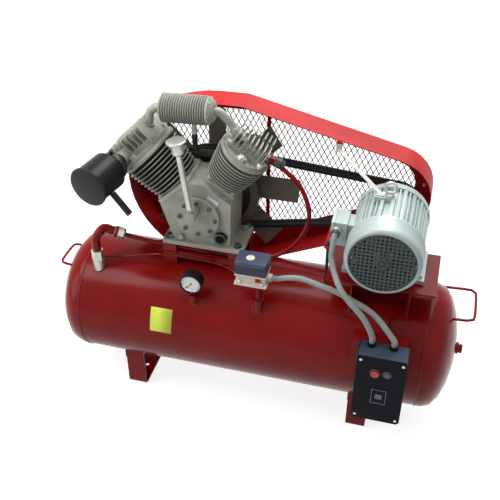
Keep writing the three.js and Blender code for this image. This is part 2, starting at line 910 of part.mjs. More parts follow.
// a direction's share square to the filter's axis
function squareToFilter(direction) {
  return direction.clone().addScaledVector(filterAim, -direction.dot(filterAim)).normalize();
}
const clampStart = filterFace.clone().addScaledVector(filterAim, 25);
function filterClamp() {
  const inner = (neckRadius + gap) / Math.cos(Math.PI / filterSides);
  const band = sleeve(
    clampStart, clampStart.clone().addScaledVector(filterAim, 14), inner + 1.5, inner, filterSides,
  );
  const ear = squareToFilter(upward);
  const middle = clampStart.clone().addScaledVector(filterAim, 7);
  return join(
    band,
    bar(
      middle.clone().addScaledVector(ear, inner + 0.6),
      middle.clone().addScaledVector(ear, inner + 13),
      6,
      8,
    ),
  );
}
piece("filter_clamp", filterClamp(), "steel");
const snorkelRoot = filterFace.clone().addScaledVector(filterAim, 100);
const snorkelAim = squareToFilter(at(0.7, 0, -0.714));
piece(
  "filter_snorkel",
  sleeve(
    snorkelRoot.clone().addScaledVector(snorkelAim, filterRadius - 2 + gap),
    snorkelRoot.clone().addScaledVector(snorkelAim, filterRadius + 78),
    10,
    8,
    12,
  ),
  "black",
);

// ---- running gear ------------------------------------------------------------------------------

const webRadius = 47;
const throwZ = stroke / 2;
const sweptRadius = throwZ + pinRadius;

function crankshaft() {
  const pin = at(crankX, 0, crankZ + throwZ);
  const parts = [
    bar(at(crankX, coverFrontY + 10, crankZ), at(crankX, 4, crankZ), pinRadius, 20),
    bar(at(crankX, 2, crankZ), at(crankX, 13, crankZ), webRadius, 16),
    bar(at(pin.x, 12, pin.z), at(pin.x, 62, pin.z), pinRadius, 16),
    bar(at(crankX, 61, crankZ), at(crankX, 72, crankZ), webRadius, 16),
    bar(at(crankX, 71, crankZ), at(crankX, beltY + wheelWidth / 2 + 6, crankZ), journalRadius, 24),
  ];
  return join(...parts);
}
piece("crankshaft", crankshaft(), "steel");

// piston at its place in the bore, with its gudgeon pin, and the rod above the crank's swept circle
function runningSet(label, centre, axis, across, bore, seat, crownHeight, skirt) {
  const radius = bore - gap;
  const profile = [
    [0, seat + crownHeight],
    [radius, seat + crownHeight],
    [radius, seat - skirt],
    [radius - 7, seat - skirt],
  ];
  profile.push([radius - 7, seat + crownHeight - 9], [0, seat + crownHeight - 9]);
  const cup = turned(profile.reverse(), centre, axis, barrelSides);
  const gudgeon = bar(
    station(centre, axis, across, seat, 0, -(radius - 3)),
    station(centre, axis, across, seat, 0, radius - 3),
    7,
    14,
  );
  piece(`${label}_piston`, join(cup, gudgeon), "steel");
  const smallEnd = sleeve(
    station(centre, axis, across, seat, 0, -8),
    station(centre, axis, across, seat, 0, 8),
    13,
    7 + gap,
    18,
  );
  const shank = leaningBlock(
    centre, axis, across, sweptRadius + throwZ + 2, seat - 11, -8, 8, centre.y - 6, centre.y + 6,
  );
  piece(`${label}_rod`, join(smallEnd, shank), "steel");
}
const lowSeat = lowTop - 8 - 30 - stroke / 2;
const highSeat = highTop - 8 - 30 - stroke / 2;
runningSet("low", lowCrank, lowAxis, lowAcross, lowBore, lowSeat, 30, 22);
runningSet("high", highCrank, highAxis, highAcross, highBore, highSeat, 30, 22);

// ---- fan flywheel, belts -----------------------------------------------------------------------

const wheelFront = beltY - wheelWidth / 2;
const wheelBack = beltY + wheelWidth / 2;

// a rim outline with two belt grooves; web lists the points from the bore out to the rim's front edge
function grooved(radius, web, back, bore) {
  const profile = [...web, [radius, web[web.length - 1][1]]];
  for (const side of [-0.5, 0.5]) {
    const centre = beltY + side * beltPitch;
    const half = beltWidth / 2;
    profile.push([radius, centre - half - 1], [radius - beltHeight - 1, centre - half]);
    profile.push([radius - beltHeight - 1, centre + half], [radius, centre + half + 1]);
  }
  profile.push([radius, back], [bore, back], web[0]);
  return profile;
}

function flywheel() {
  const axis = at(crankX, 0, crankZ);
  const bore = journalRadius + gap;
  const discFront = wheelBack - 14;
  const web = [
    [bore, wheelFront],
    [42, wheelFront],
    [42, discFront],
    [wheelRadius - 24, discFront],
    [wheelRadius - 24, wheelFront],
  ];
  const parts = [turned(grooved(wheelRadius, web, wheelBack, bore), axis, alongY, 28)];
  const ringInner = bladeRootRadius + 2;
  parts.push(
    sleeve(
      at(crankX, wheelBack - 1, crankZ), at(crankX, bladeY + 10, crankZ), ringInner + 12, ringInner, 20,
    ),
  );
  for (let i = 0; i < bladeCount; i++) {
    const blade = new THREE.BoxGeometry(bladeTipRadius - bladeRootRadius - 8, 3, bladeWidth);
    blade.translate((bladeTipRadius + bladeRootRadius + 8) / 2, 0, 0);
    blade.applyMatrix4(new THREE.Matrix4().makeRotationX((-bladePitch * Math.PI) / 180));
    blade.applyMatrix4(new THREE.Matrix4().makeRotationY((-i / bladeCount) * Math.PI * 2));
    blade.translate(crankX, bladeY, crankZ);
    parts.push(solid(blade));
  }
  return join(...parts);
}
piece("flywheel", flywheel(), "blade");

const rideDepth = 0.6; // the belt's back stands this far above the rim
function belt(name, side) {
  const centre = beltY + side * beltPitch;
  const outer = loopOutline(
    crankX, crankZ, wheelRadius + rideDepth, motorX, motorZ, pulleyRadius + rideDepth, 20, 10,
  );
  const inner = loopOutline(
    crankX,
    crankZ,
    wheelRadius + rideDepth - beltHeight,
    motorX,
    motorZ,
    pulleyRadius + rideDepth - beltHeight,
    20,
    10,
  );
  const half = beltWidth / 2 - 0.4;
  piece(name, slab(outer, centre - half, centre + half, [inner]), "rubber");
}
belt("belt_front", -0.5);
belt("belt_rear", 0.5);

// ---- motor -------------------------------------------------------------------------------------

const motorCoverBack = motorFaceY + motorCoverLength;
const standTop = motorZ - shaftHeight;
const padReach = 116;
const motorTopPadZ = motorZ + motorFinRadius + 2;
const boxFrontY = -78;
const boxBackY = -6;
const boxLowZ = motorZ - 29;
const boxTopZ = motorZ + 49;
const motorFootFront = motorCoverBack + 3;
const motorBoltYs = [motorFootFront + 20, 40];
const eyeX = motorX - 12;
const eyeY = 8;

function motorFrame() {
  const outline = [];
  for (let i = 0; i < motorFinCount; i++) {
    for (const [part, radius] of [
      [0.3, motorBodyRadius], [0.34, motorFinRadius], [0.66, motorFinRadius], [0.7, motorBodyRadius],
    ]) {
      const angle = ((i + part) / motorFinCount) * Math.PI * 2;
      outline.push([motorX + radius * Math.cos(angle), motorZ + radius * Math.sin(angle)]);
    }
  }
  const bodyBack = motorBodyBackY;
  const shell = slab(outline, motorCoverBack + gap, bodyBack);
  const shield = bar(
    at(motorX, bodyBack - 1, motorZ), at(motorX, bodyBack + 22, motorZ), motorFinRadius + 2, 24,
  );
  const nose = bar(at(motorX, bodyBack + 20, motorZ), at(motorX, bodyBack + 34, motorZ), 50, 24);
  const parts = [shell, shield, nose];
  for (const side of [-1, 1]) {
    const inner = motorX + side * 70;
    const outer = motorX + side * 120;
    parts.push(
      block(
        Math.min(inner, outer), motorFootFront, standTop + gap, Math.max(inner, outer), 58, standTop + 13,
      ),
    );
    parts.push(
      block(
        motorX + side * 84 - 7, motorFootFront + 4, standTop + 12, motorX + side * 84 + 7, 50,
        motorZ - 50,
      ),
    );
    for (const y of motorBoltYs) {
      parts.push(
        hexagon(at(motorX + side * 104, y, standTop - 14), at(motorX + side * 104, y, standTop + 22), 9),
      );
      parts.push(
        hexagon(at(motorX + side * 104, y, standTop + 12), at(motorX + side * 104, y, standTop + 22), 18),
      );
    }
  }
  // a pad on the left for the terminal box and one on top for the lifting eye
  parts.push(
    block(motorX - padReach, boxFrontY + 6, boxLowZ + 6, motorX - 80, boxBackY - 6, boxTopZ - 6),
  );
  parts.push(block(motorX - 54, eyeY - 16, motorZ + 84, motorX + 6, eyeY + 16, motorTopPadZ));
  const bore = bar(at(motorX, motorCoverBack - 5, motorZ), at(motorX, bodyBack + 12, motorZ), 70, 24);
  const shaftHole = drill(
    at(motorX, bodyBack, motorZ), at(motorX, bodyBack + 40, motorZ), motorShaftRadius + gap, 20,
  );
  const eyeHole = drill(at(eyeX, eyeY, motorZ + 90), at(eyeX, eyeY, motorZ + 140), 6 + gap, 12);
  return cut(join(...parts), bore, shaftHole, eyeHole);
}
piece("motor_frame", motorFrame(), "motorGrey");

piece(
  "motor_fan_cover",
  turned(
    [
      [0, 0], [98, 0], [107, 5], [motorCoverRadius, 18], [motorCoverRadius, motorCoverLength],
      [motorCoverRadius - 2, motorCoverLength], [motorCoverRadius - 2, 18], [97, 3], [0, 3],
    ],
    at(motorX, motorFaceY, motorZ),
    alongY,
    28,
  ),
  "motorGrey",
);

function motorRotor() {
  const pulleyFront = beltY - wheelWidth / 2;
  const pulleyBack = beltY + wheelWidth / 2;
  const parts = [
    bar(
      at(motorX, motorCoverBack - 40, motorZ), at(motorX, pulleyBack + 2, motorZ), motorShaftRadius, 20,
    ),
    bar(at(motorX, motorCoverBack + 30, motorZ), at(motorX, motorBodyBackY - 18, motorZ), 66, 16),
    turned(
      grooved(pulleyRadius, [[motorShaftRadius - 2, pulleyFront]], pulleyBack, motorShaftRadius - 2),
      at(motorX, 0, motorZ),
      alongY,
      20,
    ),
  ];
  // cooling fan behind the cover
  parts.push(bar(at(motorX, motorFaceY + 40, motorZ), at(motorX, motorFaceY + 62, motorZ), 26, 20));
  for (let i = 0; i < 6; i++) {
    const vane = new THREE.BoxGeometry(78, 24, 3);
    vane.translate(63, 0, 0);
    vane.applyMatrix4(new THREE.Matrix4().makeRotationY((i / 6) * Math.PI * 2));
    vane.translate(motorX, motorFaceY + 50, motorZ);
    parts.push(solid(vane));
  }
  return join(...parts);
}
piece("motor_rotor", motorRotor(), "steel");

function liftingEye() {
  const ring = new THREE.TorusGeometry(17, 5, 7, 16);
  const collarZ = motorTopPadZ + gap;
  const shape = solid(
    ring.applyMatrix4(new THREE.Matrix4().makeBasis(at(1, 0, 0), at(0, 0, 1), at(0, -1, 0))),
  );
  const placed = shape.translate([eyeX, eyeY, collarZ + 26]);
  const collar = bar(at(eyeX, eyeY, collarZ), at(eyeX, eyeY, collarZ + 7), 13, 16);
  const screw = bar(at(eyeX, eyeY, collarZ - 14), at(eyeX, eyeY, collarZ + 3), 6, 12);
  return join(placed, collar, screw);
}
piece("lifting_eye", liftingEye(), "steel");

// terminal box on the motor's left side, with the conduit gland on its front
const boxRight = motorX - padReach - gap;
const boxLeft = boxRight - 46;
const glandX = boxLeft + 15;
const glandZ = boxLowZ + 54;
piece(
  "terminal_box",
  cut(
    join(
      block(boxLeft + 8, boxFrontY, boxLowZ, boxRight, boxBackY, boxTopZ),
      block(boxLeft, boxFrontY - 4, boxLowZ - 4, boxLeft + 9, boxBackY + 4, boxTopZ + 4),
      bar(at(glandX, boxFrontY + 2, glandZ), at(glandX, boxFrontY - 16, glandZ), 14, 16),
    ),
    drill(
      at(glandX, boxFrontY - 10, glandZ), at(glandX, boxFrontY - 20, glandZ), conduitRadius + gap, 16,
    ),
  ),
  "motorGrey",
);

// motor stand: a slotted plate on two webs cut to the receiver
function motorStand() {
  const left = motorX - standWidth / 2;
  const plate = block(
    left, standFrontY, standTop - standThickness, left + standWidth, standBackY, standTop,
  );
  const parts = [plate];
  for (const side of [-1, 1]) {
    const x = motorX + side * 84;
    parts.push(
      block(x - 3, standFrontY + 30, tankAxisZ, x + 3, standBackY - 8, standTop - standThickness + 1),
    );
  }
  parts.push(block(motorX - 82, -40, tankAxisZ + 100, motorX + 82, -34, standTop - standThickness + 1));
  const slots = [];
  for (const side of [-1, 1]) {
    const x = motorX + side * 104;
    for (const y of motorBoltYs) slots.push(
      block(x - 16, y - 6.5, standTop - 20, x + 16, y + 6.5, standTop + 5),
    );
  }
  return cut(join(...parts), tankCutter, ...slots);
}
piece("motor_stand", motorStand(), "red");

// ---- belt guard --------------------------------------------------------------------------------

// the outline is drawn tight round the flywheel's circle, the pulley's circle and two small
// ones at the upper corners
const guardCorners = [[-316, 950, 12], [-84, 980, 12]];
const guardCircles = [
  [guardBigX, guardBigZ, guardBigRadius, 44],
  [guardSmallX, guardSmallZ, guardSmallRadius, 28],
  ...guardCorners.map(([x, z, radius]) => [x, z, radius, 12]),
];

function guardLoop(inset) {
  const circles = guardCircles.map(
    ([x, z, radius, sides]) => wasm.CrossSection.circle(radius, sides).translate([x, z]),
  );
  return wasm.CrossSection.hull(circles).offset(-inset, "Miter", 2).simplify(0.05).toPolygons()[0];
}

const meshFront = guardBackY - guardSheet - gap - 2;
const stiffenerX = -18;
const stiffenerHalf = 6;
const studX = 225;
const studY = -7;
const studArmZ = 630;

// the height at x of the line that touches two circles, above them for side 1 or below them for side -1
function tangentHeight(x, [ax, az, aRadius], [bx, bz, bRadius], side) {
  const heading = Math.atan2(bz - az, bx - ax);
  const spread = Math.acos((aRadius - bRadius) / Math.hypot(bx - ax, bz - az));
  const angle = heading + side * spread;
  const touchX = ax + aRadius * Math.cos(angle);
  const touchZ = az + aRadius * Math.sin(angle);
  return touchZ + (x - touchX) * Math.tan(angle - (side * Math.PI) / 2);
}

const lugX = 210;
const lugTopZ = tangentHeight(lugX + 16, guardCorners[1], guardCircles[1], 1) - 0.5;

function beltGuard() {
  const shell = slab(guardLoop(0), guardFrontY, guardBackY);
  const hollow = slab(guardLoop(guardSheet), guardFrontY - 1, guardBackY - guardSheet);
  const window = slab(guardLoop(guardBorder), guardFrontY, guardBackY + 1);
  // a flat bar inside the mesh, from the lower rim to the upper rim
  const tall = block(
    stiffenerX - stiffenerHalf,
    meshFront - gap - 4,
    guardBigZ - 400,
    stiffenerX + stiffenerHalf,
    meshFront - gap,
    guardBigZ + 400,
  );
  const stiffener = tall.intersect(slab(guardLoop(0.5), guardFrontY, guardBackY));
  // a bracket from the lower rim forward to the stud, and a lug under the upper rim for the stay
  const rimZ = tangentHeight(studX, guardCircles[0], guardCircles[1], -1);
  const toe = block(studX - 11, guardFrontY - 10, rimZ - 3, studX + 11, guardFrontY + 14, rimZ + 4);
  const leg = block(studX - 11, guardFrontY - 10, rimZ - 3, studX + 11, guardFrontY - 6, studArmZ + 4);
  const arm = block(studX - 11, studY - 14, studArmZ, studX + 11, guardFrontY - 6, studArmZ + 4);
  const lug = block(lugX, guardFrontY - 4, lugTopZ - 34, lugX + 16, guardFrontY + 10, lugTopZ);
  // cut away where the receiver passes
  const clearance = bar(
    at(-tankHalf, 0, tankAxisZ), at(tankHalf, 0, tankAxisZ), tankRadius + 5, tankSides,
  );
  const hole = drill(at(studX, studY, studArmZ - 5), at(studX, studY, studArmZ + 9), 5 + gap, 12);
  return cut(join(cut(shell, hollow, window), stiffener, toe, leg, arm, lug), hole, clearance);
}
piece("belt_guard", beltGuard(), "guardRed");

// sheet standing for the expanded metal, held inside the guard's border
function guardMesh() {
  return slab(guardLoop(guardBorder - 16), meshFront, meshFront + 2);
}
piece("guard_mesh", guardMesh(), "guardRed");

function guardStud() {
  const foot = tankHeightAt(studY);
  const rod = bar(at(studX, studY, foot - 6), at(studX, studY, studArmZ + 18), 5, 12);
  const low = studArmZ - gap;
  const high = studArmZ + 4 + gap;
  const nuts = [
    hexagon(at(studX, studY, low - 8), at(studX, studY, low), 17),
    hexagon(at(studX, studY, high), at(studX, studY, high + 8), 17),
  ];
  return cut(join(rod, ...nuts), tankCutter);
}
piece("guard_stud", guardStud(), "steel");

// flat stay from the motor's top pad to the lug under the guard's upper rim
function guardStay() {
  const low = at(motorX - 40, eyeY, motorTopPadZ + gap + 2.5);
  const high = at(lugX + 8, guardFrontY - 4 - gap - 3, lugTopZ - 22);
  const run = high.clone().sub(low);
  const strap = new THREE.BoxGeometry(14, 3, run.length());
  const aim = run.clone().normalize();
  const sideways = new THREE.Vector3().crossVectors(aim, upward).normalize();
  const normal = new THREE.Vector3().crossVectors(aim, sideways).normalize();
  strap.applyMatrix4(new THREE.Matrix4().makeBasis(sideways, normal, aim));
  const middle = low.clone().add(high).multiplyScalar(0.5);
  strap.translate(middle.x, middle.y, middle.z);
  const trimmed = cut(
    solid(strap),
    block(lugX - 40, guardFrontY - 4 - gap, lugTopZ - 60, lugX + 60, guardFrontY + 40, lugTopZ),
  );
  const toe = block(
    motorX - 52, eyeY - 10, motorTopPadZ + gap, motorX - 28, eyeY + 10, motorTopPadZ + gap + 3,
  );
  const tongue = block(
    lugX, guardFrontY - 7 - gap, lugTopZ - 32, lugX + 16, guardFrontY - 4 - gap, lugTopZ - 8,
  );
  return join(trimmed, toe, tongue);
}
piece("guard_stay", guardStay(), "white");

// ---- delivery pipe and receiver inlet ----------------------------------------------------------

const highOutTip = highOutlet.clone().addScaledVector(highOutAim, 6);
const unionCentre = at(-446, -50, 588);
const unionAim = at(-0.85, -0.3, 0.43).normalize();
const unionHalf = 14;

// a point before (negative) or past (positive) the union along its axis
function alongUnion(distance) {
  return unionCentre.clone().addScaledVector(unionAim, distance);
}
const deliveryPoints = [
  highOutTip,
  highOutlet.clone().addScaledVector(highOutAim, 24),
  highOutlet.clone().addScaledVector(highOutAim, 36),
  at(70, 45, 844),
  at(120, 38, 802),
  at(157, 20, 722),
  at(150, 5, 668),
  at(130, -6, 630),
  at(96, -16, 594),
  at(58, -23, 570),
  at(10, pipeY, pipeZ + 3),
  at(baseRight, pipeY, pipeZ),
  at(-168, pipeY, pipeZ),
  at(baseLeft, pipeY, pipeZ),
  at(-360, -33, 561),
  alongUnion(-38),
  alongUnion(0),
];
function deliveryPipe() {
  const run = solid(pipe(deliveryPoints, deliveryRadius, 8, 44));
  const nut = highOutlet.clone().addScaledVector(highOutAim, 18 + gap);
  const collar = hexagon(nut, nut.clone().addScaledVector(highOutAim, 18), 27);
  return join(run, collar, hexagon(alongUnion(-unionHalf), alongUnion(unionHalf), 32));
}
piece("delivery_pipe", deliveryPipe(), "red");

const inletSurface = tankHeightAt(inletY);
const inletTop = inletSurface + 64;
piece(
  "check_valve",
  cut(
    join(
      bar(at(inletX, inletY, inletSurface - 30), at(inletX, inletY, inletSurface + 30), 19, 18),
      hexagon(at(inletX, inletY, inletSurface + 29), at(inletX, inletY, inletTop), 34),
    ),
    tankCutter,
  ),
  "steel",
);
const elbowPoints = [
  at(inletX, inletY, inletTop + gap),
  at(inletX, inletY, inletTop + 14),
  at(inletX - 1, inletY + 3, inletTop + 40),
  at(inletX + 9, inletY + 12, inletTop + 62),
  alongUnion(48),
  alongUnion(30),
  alongUnion(unionHalf + gap),
];
piece("inlet_elbow", pipe(elbowPoints, 14, 10, 14), "red");

// ---- gauge -------------------------------------------------------------------------------------

const stemY = gaugeFrontY + 26;
piece(
  "gauge_stem",
  cut(
    join(
      bar(at(gaugeX, stemY, tankAxisZ + 120), at(gaugeX, stemY, tankHeightAt(stemY) + 22), 13, 14),
      bar(
        at(gaugeX, stemY, tankHeightAt(stemY) + 20), at(gaugeX, stemY, gaugeZ - gaugeRadius - gap), 6, 12,
      ),
    ),
    tankCutter,
  ),
  "red",
);
piece(
  "gauge_case",
  turned(
    [[0, 4], [31, 4], [31, 0], [gaugeRadius, 0], [gaugeRadius, 36], [28, 40], [0, 40]],
    at(gaugeX, gaugeFrontY, gaugeZ),
    alongY,
    28,
  ),
  "black",
);
const needleAngle = (225 * Math.PI) / 180;
function gaugeNeedle() {
  const hub = bar(
    at(gaugeX, gaugeFrontY + 1.2, gaugeZ), at(gaugeX, gaugeFrontY + 4 - gap, gaugeZ), 3, 10,
  );
  const arm = new THREE.BoxGeometry(30, 1.2, 1.8);
  arm.translate(9, 0, 0);
  arm.applyMatrix4(new THREE.Matrix4().makeRotationY(-needleAngle));
  arm.translate(gaugeX, gaugeFrontY + 2.2, gaugeZ);
  return join(hub, solid(arm));
}
piece("gauge_needle", gaugeNeedle(), "black");

// ---- pressure switch ---------------------------------------------------------------------------

const riserFoot = tankHeightAt(switchY);
const riserX = switchX + 18;
piece(
  "switch_riser",
  cut(
    join(
      bar(at(riserX, switchY, riserFoot - 30), at(riserX, switchY, riserFoot + 34), 17, 18),
      bar(at(riserX, switchY, riserFoot + 33), at(riserX, switchY, switchBottomZ - gap), 10, 14),
    ),
    tankCutter,
  ),
  "red",
);
const switchLeft = switchX - switchWidth / 2;
const switchFront = switchY - switchDepth / 2;
const switchBaseTop = switchBottomZ + switchBaseHeight;
const leverX = switchLeft + switchWidth;
piece(
  "pressure_switch_base",
  join(
    block(
      switchLeft + 3, switchFront + 3, switchBottomZ, leverX - 3, switchFront + switchDepth - 3,
      switchBaseTop,
    ),
    bar(
      at(leverX - 4, switchY, switchBottomZ + 20), at(leverX + 12, switchY, switchBottomZ + 20), 13, 14,
    ),
  ),
  "cream",
);
piece(
  "pressure_switch_cover",
  block(
    switchLeft, switchFront, switchBaseTop + gap, leverX, switchFront + switchDepth,
    switchBaseTop + switchCoverHeight,
  ),
  "navy",
);
const unloaderX = switchLeft + 22;
const unloaderPoints = [
  at(unloaderX, switchY, switchBottomZ - 16),
  at(unloaderX, switchY, switchBottomZ - 28),
  at(unloaderX - 12, switchY + 18, switchBottomZ - 40),
  at(-60, -72, 526),
  at(-120, -57, 530),
  at(-300, -57, 532),
  at(-440, -64, 502),
  at(inletX + 21, inletY, inletSurface + 40),
];
piece(
  "unloader_valve",
  join(
    hexagon(at(unloaderX, switchY, switchBottomZ - gap), at(unloaderX, switchY, switchBottomZ - 18), 14),
    solid(pipe(unloaderPoints, 3, 6, 24)),
  ),
  "brass",
);

// ---- starter -----------------------------------------------------------------------------------

const starterLeft = starterX - starterWidth / 2;
const starterTop = starterBottomZ + starterHeight;
const starterFrontY = starterBackY - starterDepth;

function starterBracket() {
  const plate = block(
    starterLeft - 24, starterBackY + gap, bracketTopZ - 110, starterLeft + starterWidth - 8,
    starterBackY + 6, bracketTopZ,
  );
  const shelf = block(
    starterLeft - 24, starterBackY + gap, bracketTopZ - 6, starterLeft + starterWidth - 8, -189,
    bracketTopZ,
  );
  const rib = block(
    starterX - 3, starterBackY + 5, bracketTopZ - 100, starterX + 3, -100, bracketTopZ - 5,
  );
  const low = block(
    starterLeft + 20, starterBackY + gap, starterBottomZ + 30, starterLeft + starterWidth - 20,
    starterBackY + 6, bracketTopZ - 100,
  );
  return cut(join(plate, shelf, rib, low), tankCutter);
}
piece("starter_bracket", starterBracket(), "red");

const lidY = starterBackY - 34;
const glandLeftX = starterLeft + 34;
const glandRightX = starterLeft + 97;
const starterGlandY = starterBackY - 17;
piece(
  "starter_box",
  join(
    block(starterLeft, lidY, starterBottomZ, starterLeft + starterWidth, starterBackY, starterTop),
    bar(
      at(glandLeftX, starterGlandY, starterTop - 1),
      at(glandLeftX, starterGlandY, starterTop + 12),
      13,
      12,
    ),
    bar(
      at(glandRightX, starterGlandY, starterTop - 1),
      at(glandRightX, starterGlandY, starterTop + 12),
      13,
      12,
    ),
  ),
  "black",
);
const stopX = starterLeft + 56;
const startX = starterLeft + 90;
const buttonZ = starterTop - 56;
const stopHole = bar(
  at(stopX, starterFrontY - 5, buttonZ), at(stopX, starterFrontY + 18, buttonZ), 12 + 0.6, 20,
);
const startHole = bar(
  at(startX, starterFrontY - 5, buttonZ), at(startX, starterFrontY + 18, buttonZ), 10 + 0.6, 20,
);
function starterCover() {
  const outline = [];
  const c = 8;
  const x0 = starterLeft;
  const x1 = starterLeft + starterWidth;
  outline.push(
    [x0 + c, starterBottomZ], [x1 - c, starterBottomZ], [x1, starterBottomZ + c], [x1, starterTop - c],
  );
  outline.push(
    [x1 - c, starterTop], [x0 + c, starterTop], [x0, starterTop - c], [x0, starterBottomZ + c],
  );
  return cut(slab(outline, starterFrontY, lidY - gap), stopHole, startHole);
}
piece("starter_cover", starterCover(), "black");
piece(
  "stop_button",
  bar(at(stopX, starterFrontY - 8, buttonZ), at(stopX, starterFrontY + 12, buttonZ), 12, 20),
  "stopRed",
);
piece(
  "start_button",
  bar(at(startX, starterFrontY - 3, buttonZ), at(startX, starterFrontY + 12, buttonZ), 10, 20),
  "startGreen",
);

// ---- conduits ----------------------------------------------------------------------------------

const conduitMotorPoints = [
  at(glandX, boxFrontY - 10.5, glandZ),
  at(glandX, boxFrontY - 26, glandZ),
  at(glandX, boxFrontY - 42, glandZ - 22),
  at(glandX, boxFrontY - 60, glandZ - 58),
  at(glandX + 15, boxFrontY - 86, glandZ - 88),
  at(299, -207, 630),
  at(328, -224, 606),
  at(366, -239, 577),
  at(glandLeftX - 12, starterGlandY + 5, starterTop + 54),
  at(glandLeftX, starterGlandY, starterTop + 26),
  at(glandLeftX, starterGlandY, starterTop + 12 + gap),
];
piece("conduit_motor", pipe(conduitMotorPoints, conduitRadius, 8, 30), "conduit");

const conduitSwitchPoints = [
  at(leverX + 12 + gap, switchY, switchBottomZ + 20),
  at(leverX + 28, switchY, switchBottomZ + 20),
  at(leverX + 54, switchY - 6, switchBottomZ + 34),
  at(170, -153, 604),
  at(231, -168, 603),
  at(284, -178, 597),
  at(332, -190, 585),
  at(373, -206, 578),
  at(408, -224, 567),
  at(glandRightX - 29, starterGlandY + 14, starterTop + 56),
  at(glandRightX, starterGlandY, starterTop + 26),
  at(glandRightX, starterGlandY, starterTop + 12 + gap),
];
piece("conduit_switch", pipe(conduitSwitchPoints, conduitRadius, 8, 30), "conduit");

// the part's origin is the middle of its footprint, on the floor
const extent = new THREE.Box3().setFromObject(group);
group.position.set(-(extent.min.x + extent.max.x) / 2, -(extent.min.y + extent.max.y) / 2, -extent.min.z);

export default group;
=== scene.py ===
import bpy
import bmesh
import json
import math
import numpy as np
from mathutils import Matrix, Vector


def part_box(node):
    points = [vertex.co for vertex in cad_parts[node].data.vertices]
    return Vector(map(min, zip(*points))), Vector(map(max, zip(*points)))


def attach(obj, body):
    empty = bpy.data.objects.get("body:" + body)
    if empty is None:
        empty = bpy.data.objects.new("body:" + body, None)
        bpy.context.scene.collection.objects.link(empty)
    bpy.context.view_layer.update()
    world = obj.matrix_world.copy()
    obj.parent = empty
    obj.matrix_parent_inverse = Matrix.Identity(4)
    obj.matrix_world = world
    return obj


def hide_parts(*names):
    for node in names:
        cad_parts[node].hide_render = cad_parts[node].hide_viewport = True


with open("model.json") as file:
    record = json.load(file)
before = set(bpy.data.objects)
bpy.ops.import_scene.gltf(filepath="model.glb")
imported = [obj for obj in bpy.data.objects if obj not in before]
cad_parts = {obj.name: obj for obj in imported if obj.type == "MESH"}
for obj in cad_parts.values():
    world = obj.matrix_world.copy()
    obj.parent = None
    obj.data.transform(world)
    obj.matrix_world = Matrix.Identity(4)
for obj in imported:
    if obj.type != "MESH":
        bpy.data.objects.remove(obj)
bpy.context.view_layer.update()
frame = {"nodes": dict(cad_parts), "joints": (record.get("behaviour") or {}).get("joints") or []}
nodes = frame["nodes"]
joints = {j["name"]: j for j in frame["joints"]}
print("frame loaded", len(nodes), "nodes")

# lengths below are in millimetres from the floor, under the middle of the receiver, whose axis lies 300 up
shellLow, shellHigh = (np.array(c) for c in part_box("tank_shell"))
shift = (shellLow + shellHigh) / 2 - np.array([0, 0, 0.3])
right, back, upright = np.array([1.0, 0, 0]), np.array([0, 1.0, 0]), np.array([0, 0, 1.0])


# millimetres here to metres in the frame: divided by 1000, then moved by the shift
def toRow(p):
    return np.asarray(p, float) / 1000 + shift


# metres in the frame to millimetres here: the shift taken off, then times 1000
def toHere(p):
    return (np.array(p) - shift) * 1000


# where a joint's axis passes, in millimetres
def jointPoint(name):
    return toHere(joints[name]["pos_m"])


# a vector divided by its length
def unit(v):
    v = np.asarray(v, float)
    return v / np.linalg.norm(v)


# camera, lamps and the room round them
cameraSet = {"eye": (490, -1915, 2035), "look": (-23, 0, 562), "lens": 56.1}
lampSet = {
    "key": {"at": (-1500, -900, 2500), "size": 1.2, "power": 24, "tint": (1, 0.98, 0.95)},
    "top": {"at": (100, 800, 3000), "size": 1.7, "power": 50, "tint": (1, 1, 1)},
    "fill": {"at": (1900, -1500, 1500), "size": 2.0, "power": 2.5, "tint": (0.95, 0.98, 1)},
    "left": {"at": (-2100, -1300, 1100), "size": 1.6, "power": 19, "tint": (1, 0.99, 0.97)},
    "rim": {"at": (500, 1700, 2200), "size": 1.8, "power": 20, "tint": (1, 1, 1)},
}
lampTarget = (0, 0, 450)
skySet = {"dim": 0.03, "bright": 0.9, "dimBelow": 0.25, "brightAbove": 0.9}


# the thing stands at eye and turns until its own -Z runs along look minus eye
def aim(thing, eye, look):
    thing.location = toRow(eye)
    thing.rotation_euler = Vector(toRow(look) - toRow(eye)).to_track_quat("-Z", "Y").to_euler()


camera = bpy.data.objects.new("camera", bpy.data.cameras.new("camera"))
bpy.context.scene.collection.objects.link(camera)
camera.data.lens = cameraSet["lens"]
camera.data.sensor_width = 36
camera.data.clip_end = 60
aim(camera, cameraSet["eye"], cameraSet["look"])
bpy.context.scene.camera = camera

for name, d in lampSet.items():
    lamp = bpy.data.lights.new(name, "AREA")
    lamp.shape = "DISK"
    lamp.size = d["size"]
    lamp.energy = d["power"]
    lamp.color = d["tint"]
    holder = bpy.data.objects.new(name, lamp)
    bpy.context.scene.collection.objects.link(holder)
    aim(holder, d["at"], lampTarget)


# clears a tree and gives back one function that adds a node: a socket among its inputs is linked, a value is set
def nodeTree(tree):
    tree.nodes.clear()

    def add(kind, inputs=None, **settings):
        node = tree.nodes.new(kind)
        for key, value in settings.items():
            setattr(node, key, value)
        for key, value in (inputs or {}).items():
            if isinstance(value, bpy.types.NodeSocket):
                tree.links.new(value, node.inputs[key])
            else:
                node.inputs[key].default_value = value
        return node

    return add


# 1 for a ray from the camera, a shiny face or clear glass, so that all three see the same white room
def seenRays(add):
    rays = add("ShaderNodeLightPath").outputs
    seen = rays["Is Camera Ray"]
    for kind in ("Is Transmission Ray", "Is Glossy Ray"):
        seen = add("ShaderNodeMath", {0: seen, 1: rays[kind]}, operation="MAXIMUM").outputs[0]
    return seen


